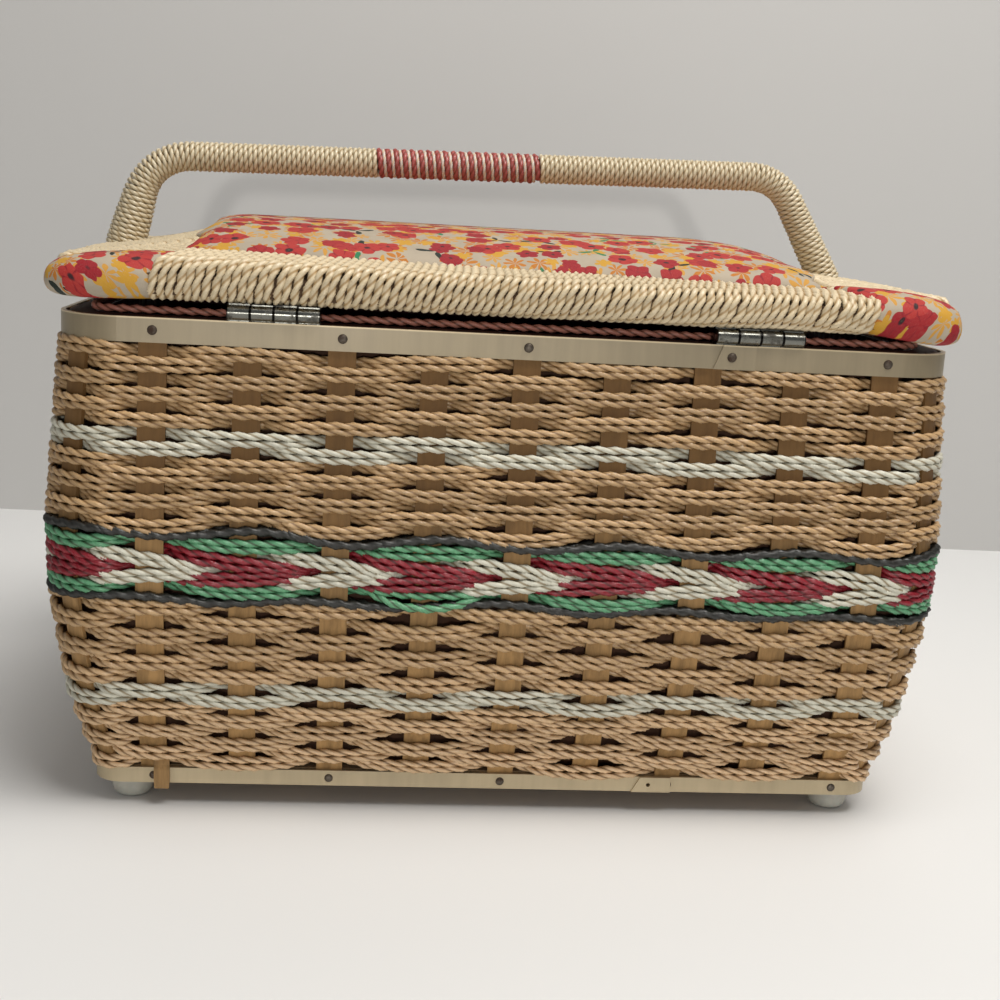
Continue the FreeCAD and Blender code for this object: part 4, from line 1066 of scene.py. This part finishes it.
class BASKET_OT_cloth(bpy.types.Operator):
    """Covers the corners and the padded panel of the lid with printed cotton"""

    bl_idname = "basket.cloth"
    bl_label = "Printed cloth"

    def execute(self, context):
        for right in (-1, 1):
            for far in (-1, 1):
                self.corner(right, far, 3.4 if right > 0 and far < 0 else 0.6)
        self.panel()
        return {"FINISHED"}

    def corner(self, right, far, droop):
        """One corner: a fan from the panel's corner over the rounded edge and under the rail."""
        bend, tuck, start, end = 15.0, 4.0, WOUND[right], LID_X + (1.6 if right < 0 else -0.8)
        rim = [(start - tuck, LID_Y, 1.3), (start - 0.6, LID_Y, 1.0)]
        for number in range(1, 6):
            rim.append((start + (end - bend - start) * number / 5, LID_Y, 0.0))
        for number in range(1, 14):
            angle = math.pi / 2 * (1 - number / 14)
            rim.append((end - bend + bend * math.cos(angle), LID_Y - bend + bend * math.sin(angle), 0.0))
        rim += [(end, LID_Y - bend, 0.0), (end, PANEL_Y + 4.0, 0.0), (LID_X, PANEL_Y + 0.5, 1.0),
                (LID_X, PANEL_Y - tuck, 1.3)]
        pivot = (PANEL_X - 0.2, PANEL_Y - 0.2)
        points, faces = [], []
        for x, y, inset in rim:
            away = math.hypot(x - pivot[0], y - pivot[1])
            shrink = 1 - inset / away
            corner = max(0.0, min(1.0, (x + y - start - LID_Y) / (LID_X - start - 0.6 * bend)))
            for share, height in CORNER:
                hang = droop * (0.15 + 0.85 * ease((185.0 - height) / 6.0))
                fall = hang * corner * ease((share - 0.35) / 0.65) + (0.9 if inset and height > 180 else 0.0)
                points.append((right * (pivot[0] + (x - pivot[0]) * share * shrink),
                               far * (pivot[1] + (y - pivot[1]) * share * shrink) + MID_Y, height - fall))
        count = len(CORNER)
        for number in range(len(rim) - 1):
            for step in range(count - 1):
                a = number * count + step
                faces.append((a, a + 1, a + count + 1, a + count))
        faces.append(tuple(range(count)))
        faces.append(tuple((len(rim) - 1) * count + step for step in reversed(range(count))))
        name = "lid_corner_%s_%s" % ("back" if far < 0 else "front", "left" if right < 0 else "right")
        piece = mesh_piece(name, points, faces, "floral")
        plump(piece, 2.0, 0.9, 3.0, 12)
        middle = Vector((right * PANEL_X * MM, (far * PANEL_Y + MID_Y) * MM))
        top = (LID_EDGE - droop) * MM

        def read(place):
            away = Vector((place.x, place.y)) - middle
            drop = max(0.0, top - place.z)
            if away.length > 0:
                away = away + away.normalized() * drop
            return middle.x + away.x + 0.5, middle.y + away.y + 0.5
        cloth_map(piece, read)
        soften(piece)
        settle(piece, "lid", "floral_cloth", "lid_corner_cloth")

    def panel(self):
        """The padded panel: crowned, drawn in along its edges and full at the rails."""
        half_x, half_y, over = PANEL_X - 0.5, PANEL_Y - 0.5, PANEL_OVER
        across, along = 60, 48
        points, faces = [], []
        for row in range(along + 1):
            for column in range(across + 1):
                u, v = 2 * column / across - 1, 2 * row / along - 1
                u, v = (math.copysign(1 - (1 - abs(part)) ** 1.2, part) for part in (u, v))
                x, y = (half_x + over[-1 if u < 0 else 1]) * u, half_y * v
                rise = dome(y)
                bulge = 1 - (1 - min(1.0, (half_y - abs(y)) / 72.0)) ** 2
                height = middle = PANEL_EDGE + (PANEL_CREST - PANEL_EDGE) * bulge
                for side, run in ((-1, 16.0), (1, 36.0)):
                    inward = min(1.0, (half_x + over[side] - side * x) / run)
                    height -= (middle - PANEL_EDGE - SIDE_RISE[side] * rise) * (1 - inward) ** 2
                points.append((x, y + MID_Y, height))
        wide = across + 1
        for row in range(along):
            for column in range(across):
                a = row * wide + column
                faces.append((a, a + 1, a + wide + 1, a + wide))
        border = list(range(wide)) + [row * wide + across for row in range(1, along + 1)]
        border += [along * wide + column for column in range(across - 1, -1, -1)]
        border += [row * wide for row in range(along - 1, 0, -1)]
        rings = [border]
        for drop in (1.6, None):
            rings.append(list(range(len(points), len(points) + len(border))))
            for number in border:
                x, y, height = points[number]
                points.append((max(-half_x, min(half_x, x)), y, height - drop if drop else PANEL_LOW))
        for upper, lower in zip(rings, rings[1:]):
            for number in range(len(border)):
                ahead = (number + 1) % len(border)
                faces.append((upper[number], lower[number], lower[ahead], upper[ahead]))
        faces.append(tuple(rings[-1]))
        piece = mesh_piece("lid_cushion_padded", points, faces, "floral")
        plump(piece, 4.0, 1.3, 3.6)
        dice = random.Random(5)
        folds = [(dice.uniform(0.10, 0.34), dice.uniform(0, 6.28), dice.uniform(0.5, 1.0)) for _ in range(5)]
        for point in piece.data.vertices:
            x, y, z = (part / MM for part in point.co)
            y -= MID_Y
            side = half_x + (over[-1 if x < 0 else 1] + 0.3) * ease((z - 187.0) / 2.0)
            x, y, z = max(-side, min(side, x)), max(-half_y, min(half_y, y)), max(PANEL_LOW - 0.3, z)
            if z > 186:
                gap_x, gap_y = half_x - abs(x), half_y - abs(y)
                run = x if gap_y < gap_x else y
                fold = sum(size * math.sin(pace * run + phase) for pace, phase, size in folds)
                z += 0.32 * math.exp(-min(gap_x, gap_y) / 9.0) * fold
            point.co = (x * MM, (y + MID_Y) * MM, z * MM)
        cloth_map(piece, lambda place: (place.x + 0.5, place.y + 0.5))
        soften(piece)
        settle(piece, "lid", "floral_cloth", "lid_cushion")


# Handle: the corners of the bar's middle line, the ends of the grip, and the lid below

HANDLE = ((-133.2, 220.8), (109.0, 226.1))
GRIP = (-49.0, 15.6)
BEND_PARTS = 12
LID_TOP = 188.0


def bar_path(points, radii, pitch=0.8):
    """Points along straight runs with rounded bends, in the plane of the handle, each with the way to the next."""
    line = [Vector(points[0])]
    for before, corner, after, radius in zip(points, points[1:], points[2:], radii):
        corner = Vector(corner)
        back, ahead = (Vector(before) - corner).normalized(), (Vector(after) - corner).normalized()
        half = back.angle(ahead) / 2
        trim = radius / math.tan(half)
        centre = corner + (back + ahead).normalized() * radius / math.sin(half)
        line.append(corner + back * trim)
        start, stop = line[-1] - centre, corner + ahead * trim - centre
        turn = start.angle_signed(stop)
        for number in range(1, BEND_PARTS + 1):
            angle = -turn * number / BEND_PARTS
            line.append(centre + Vector((start.x * math.cos(angle) - start.y * math.sin(angle),
                                         start.x * math.sin(angle) + start.y * math.cos(angle))))
    line.append(Vector(points[-1]))
    spots = []
    for first, last in zip(line, line[1:]):
        run = last - first
        count = max(1, int(round(run.length / pitch)))
        for number in range(count):
            spots.append((first + run * number / count, run.length / count))
    spots.append((line[-1], pitch))
    return spots


def wound(spots, radius, pitch, phase=0.0, low=None):
    """A winding round a path: points in millimetres. low is its radius down on the lid, where it is thicker."""
    path = []
    angle = phase
    high = max(spot.y for spot, _ in spots)
    middle = radius
    for number, (spot, length) in enumerate(spots[:-1]):
        ahead = spots[number + 1][0]
        behind = spots[max(number - 1, 0)][0]
        way = (ahead - behind).normalized()
        normal = Vector((-way.y, way.x))
        parts = max(1, int(math.ceil(length / (pitch / 10))))
        step = ahead - spot
        if low:
            middle = radius + (low - radius) * (1 - ease((spot.y - LID_TOP) / (high - LID_TOP)))
        for part in range(parts):
            place = spot + step * part / parts
            side = normal * math.cos(angle) * middle
            path.append((place.x + side.x, MID_Y - math.sin(angle) * middle, place.y + side.y))
            angle += 2 * math.pi * length / parts / pitch
    return path


def bar_spot(x):
    """The point of the bar's top run at x."""
    (left, low), (right, high) = HANDLE
    return x, low + (high - low) * ((x - left) / (right - left))


class BASKET_OT_handle(bpy.types.Operator):
    """Winds the handle and its grip"""

    bl_idname = "basket.handle"
    bl_label = "Wound handle"

    def execute(self, context):
        settings = context.scene.basket_cord
        left = bar_path([(-142.8, 186.6), HANDLE[0], bar_spot(GRIP[0] + 1.2)], [20.0])
        right = bar_path([bar_spot(GRIP[1] - 0.6), HANDLE[1], (131.9, 187.0)], [18.0])
        for name, spots, low in (("handle_wrap_left", left, 6.5), ("handle_wrap_right", right, 5.2)):
            path = wound(spots, 4.6, settings.handle_pitch / MM, 0.0, low)
            piece = cords(name + "_cord", [path], "handle", 2.2, 0.13, 6.6 * MM, 0.7 * MM, False)
            settle(piece, "lid", "cord_natural", name)
        margin = 1.5
        grip = bar_path([bar_spot(GRIP[0] + margin), bar_spot(GRIP[1] - margin)], [])
        length = (Vector(bar_spot(GRIP[1])) - Vector(bar_spot(GRIP[0]))).length - 2 * margin
        step = length / (settings.grip_turns + 0.5)
        red = cords("grip_winding_cord", [wound(grip, 4.5, step)], "grip", 2.6, 0.16, 6.5 * MM, 0.7 * MM, False)
        settle(red, "lid", "cord_red", "grip_winding")
        path = wound(grip, 4.6, step, math.pi)
        white = cords("grip_sleeve_cord", [path], "sleeve", 1.6, 0.08, 6.0 * MM, 0.8 * MM, False)
        settle(white, "lid", "cord_white", "grip_sleeve")
        return {"FINISHED"}


# Heights of the lining's rows, points in each, and the height of the widest part of the wall
LINING_LEVELS = (14.7, 22.0, 31.0, 40.3, 52.0, 64.0, 75.6, 88.0, 101.0, 116.0, 131.0, 146.0, 161.0, 168.9)
LINING_POINTS = 560
BELLY_TOP = 101.0


class BASKET_OT_lining(bpy.types.Operator):
    """Lines the basket and the lid with satin"""

    bl_idname = "basket.lining"
    bl_label = "Satin lining"

    def execute(self, context):
        self.walls()
        floor = self.flat("lining_floor_satin", (AXIS_X, AXIS_Y), 2.2, 14.6, 16.6, 1.0)
        settle(floor, "basket", "lining_cloth", "lining_floor")
        lid = self.flat("lid_lining_satin", (PANEL_X - 1.0, PANEL_Y - 5.0), 4.6, 175.4, 174.3, -0.9)
        settle(lid, "lid", "lining_cloth", "lid_lining")
        return {"FINISHED"}

    def walls(self):
        """Satin stretched over the walls in two layers, the inner one with soft upright ripples; the outer faces are
        a card backing whose dark colour is painted shade behind the weave.
        """
        rows = len(LINING_LEVELS) - 1
        points, faces = [], []
        for layer, inset in ((0, 0.0), (1, 1.2)):
            for row, height in enumerate(LINING_LEVELS):
                share = row / rows
                reach = reach_at(height) - 4.6
                if height > BELLY_TOP:
                    reach = 19.4 - 9.4 * min(1.0, (height - BELLY_TOP) / 60.0)
                reach -= inset
                whole = stake_runs(reach)[1]
                for number in range(LINING_POINTS):
                    place = number / LINING_POINTS
                    offset = 0.0
                    if layer:
                        offset = 0.45 * math.sin(FULL_TURN * place * 140) * (0.35 + 0.65 * share)
                        offset += 0.2 * math.sin(FULL_TURN * place * 53 + 3 * share) - 0.3
                    points.append(wall_point(whole * place, reach, offset, height))
        layer = (rows + 1) * LINING_POINTS
        for start in (0, layer):
            for row in range(rows):
                low = start + row * LINING_POINTS
                faces += ring_faces(low, low + LINING_POINTS, LINING_POINTS)
        for row in (0, rows):
            faces += ring_faces(row * LINING_POINTS, layer + row * LINING_POINTS, LINING_POINTS)
        piece = mesh_piece("lining_walls_satin", points, faces, "lining")
        # Outer faces take the dark backing, painted shade for what shows through the weave
        piece.data.materials.append(FINISHES["backing"])
        for face in piece.data.polygons:
            x, y, _ = face.center
            face.material_index = int(face.normal.x * x + face.normal.y * (y - MID_Y * MM) > 0)
        settle(piece, "basket", "lining_cloth", "lining_walls")

    def flat(self, name, axes, corner, low, high, puff):
        """A flat satin pad with a softly raised middle: corner axes, reach beyond them, back, front and swell."""
        rings, count = 10, 96
        points, faces = [], []
        for ring in range(rings + 1):
            share = ring / rings
            height = high - 0.5 * puff * share ** 4
            for number in range(count):
                angle = 2 * math.pi * number / count
                x, y = (max(-1.0, min(1.0, 1.42 * part)) * axis + corner * part
                        for axis, part in zip(axes, (math.cos(angle), math.sin(angle))))
                points.append((x * share, y * share + MID_Y, height))
        for ring in range(rings):
            faces += ring_faces(ring * count, (ring + 1) * count, count)
        base = len(points)
        points += [(x, y, low) for x, y, _ in points[-count:]]
        faces += ring_faces(base - count, base, count)
        faces.append(tuple(range(base, base + count)))
        return mesh_piece(name, points, faces, "lining")


# Outline of the knob on the lid
KNOB = ((0, -10.0), (1.5, -10.0), (1.5, 0.0), (2.6, 0.0), (2.5, 0.6), (2.1, 1.4), (2.3, 2.2), (3.6, 2.7), (4.3, 3.4),
        (4.5, 4.4), (4.3, 5.6), (3.5, 6.4), (2.0, 6.85), (0, 7.0))


class BASKET_OT_fittings(bpy.types.Operator):
    """Finishes the bands, stakes, hinges, latch and boards"""

    bl_idname = "basket.fittings"
    bl_label = "Fittings"

    def execute(self, context):
        node_finish("band", "top_band", "bottom_band")
        node_finish("stake", "stakes")
        node_finish("board", "base_board")
        node_finish("stain", "top_frame")
        node_finish("core", "lid_frame", "handle_core")
        node_finish("card", "lid_board")
        for side in ("left", "right"):
            node_finish("hinge", "hinge_rim_leaf_" + side, "hinge_lid_leaf_" + side, "hinge_pin_" + side)
        node_finish("hinge", "hinge_screws_rim", "hinge_screws_lid")
        node_finish("latch", "latch_plate", "latch_loop", "latch_screws", "foot_screws", "handle_pegs")
        knob = lathe("latch_knob_turned", KNOB, (0.0, LID_Y + MID_Y, 181.0), "knob", "Y")
        settle(knob, "lid", "knob_wood", "latch_knob")
        return {"FINISHED"}


# Stage: camera in millimetres, degrees and pixels of a picture 1000 wide; lamps as place, size, power and colour

PICTURE_WIDTH, SENSOR = 1000.0, 36.0
CAMERA = {"place": (-48.555, -575.827, 210.969), "pitch": 11.627, "roll": 3.248, "yaw": 5.497, "focal": 1450.16}
LAMPS = (("lamp_over", (0.26, -0.34, 1.15), 0.7, 13.5, (1.0, 0.97, 0.93)),
         ("lamp_front", (-0.09, -2.4, 0.275), 0.05, 11.0, (1.0, 0.97, 0.92)))
LAMP_AIM = (0.0, 0.0, 0.1)
ROOM_LIGHT, ROOM_STRENGTH = (0.95, 0.97, 1.0, 1.0), 0.22


class BASKET_OT_stage(bpy.types.Operator):
    """Sets the floor, the wall, the lamps and the camera"""

    bl_idname = "basket.stage"
    bl_label = "Stage"

    def execute(self, context):
        self.backdrop()
        self.lamps(context.scene)
        self.camera(context.scene)
        context.scene.view_settings.view_transform = "Standard"
        return {"FINISHED"}

    def backdrop(self):
        for name, colour, corners in (
                ("stage_floor", (0.78, 0.78, 0.77), ((-3, -3, 0), (3, -3, 0), (3, 3, 0), (-3, 3, 0))),
                ("stage_wall", (0.50, 0.494, 0.482), ((-3, 0.45, 0), (3, 0.25, 0), (3, 0.25, 3), (-3, 0.45, 3)))):
            mesh = bpy.data.meshes.new(name)
            mesh.from_pydata([(x, y, z - 0.0002) for x, y, z in corners], [], [(0, 1, 2, 3)])
            finish = Finish(name, Roughness=0.7)
            soft = finish.noise(finish.place(), 2.2, 2.0)
            finish.feed(Base_Color=finish.mix(soft, tint(colour, 0.97), tint(colour, 1.03)))
            if name == "stage_wall":
                finish.open_behind()
            mesh.materials.append(finish.material)
            link_up(bpy.data.objects.new(name, mesh))

    def lamps(self, scene):
        world = bpy.data.worlds.new("soft_room")
        scene.world = world
        world.use_nodes = True
        light = world.node_tree.nodes["Background"].inputs
        light[0].default_value, light[1].default_value = ROOM_LIGHT, ROOM_STRENGTH
        for name, place, size, power, colour in LAMPS:
            lamp = bpy.data.lights.new(name, "AREA")
            lamp.size, lamp.energy, lamp.color = size, power, colour
            holder = link_up(bpy.data.objects.new(name, lamp))
            holder.location = place
            holder.rotation_euler = (Vector(LAMP_AIM) - Vector(place)).to_track_quat("-Z", "Y").to_euler()

    def camera(self, scene):
        lens = bpy.data.cameras.new("camera")
        lens.sensor_fit = "HORIZONTAL"
        lens.sensor_width = SENSOR
        lens.lens = CAMERA["focal"] / PICTURE_WIDTH * SENSOR
        lens.clip_start = 0.01
        pitch, roll, yaw = (math.radians(CAMERA[word]) for word in ("pitch", "roll", "yaw"))
        ahead = Vector((math.sin(yaw) * math.cos(pitch), math.cos(yaw) * math.cos(pitch), -math.sin(pitch)))
        right = Vector((math.cos(yaw), -math.sin(yaw), 0.0))
        up = right.cross(ahead)
        right, up = math.cos(roll) * right + math.sin(roll) * up, -math.sin(roll) * right + math.cos(roll) * up
        holder = link_up(bpy.data.objects.new("camera", lens))
        turn = Matrix((right, up, -ahead)).transposed().to_4x4()
        holder.matrix_world = Matrix.Translation(Vector(CAMERA["place"]) * MM) @ turn
        scene.camera = holder


class BASKET_PT_panel(bpy.types.Panel):
    """Lists the steps that build the basket"""

    bl_label = "Sewing basket"
    bl_idname = "BASKET_PT_panel"
    bl_space_type = "VIEW_3D"
    bl_region_type = "UI"
    bl_category = "Basket"

    def draw(self, context):
        for group in (context.scene.basket_cord, context.scene.basket_colours):
            for name in group.bl_rna.properties.keys():
                if name not in ("rna_type", "name"):
                    self.layout.prop(group, name)
        for step in STEPS:
            self.layout.operator(step.bl_idname)


STEPS = (BASKET_OT_weave, BASKET_OT_rim, BASKET_OT_rails, BASKET_OT_cloth, BASKET_OT_handle, BASKET_OT_lining,
         BASKET_OT_fittings, BASKET_OT_stage)
CLASSES = (BasketCord, BasketColours) + STEPS + (BASKET_PT_panel,)


def register():
    for kind in CLASSES:
        bpy.utils.register_class(kind)
    bpy.types.Scene.basket_cord = bpy.props.PointerProperty(type=BasketCord)
    bpy.types.Scene.basket_colours = bpy.props.PointerProperty(type=BasketColours)


def unregister():
    del bpy.types.Scene.basket_colours
    del bpy.types.Scene.basket_cord
    for kind in reversed(CLASSES):
        bpy.utils.unregister_class(kind)


def main():
    register()
    make_finishes(bpy.context.scene.basket_colours)
    TREES.update({"cord": cord_tree(), "stud": stud_tree()})
    bpy.ops.basket.weave()
    bpy.ops.basket.rim()
    bpy.ops.basket.rails()
    bpy.ops.basket.cloth()
    bpy.ops.basket.handle()
    bpy.ops.basket.lining()
    bpy.ops.basket.fittings()
    bpy.ops.basket.stage()


if __name__ == "__main__":
    main()
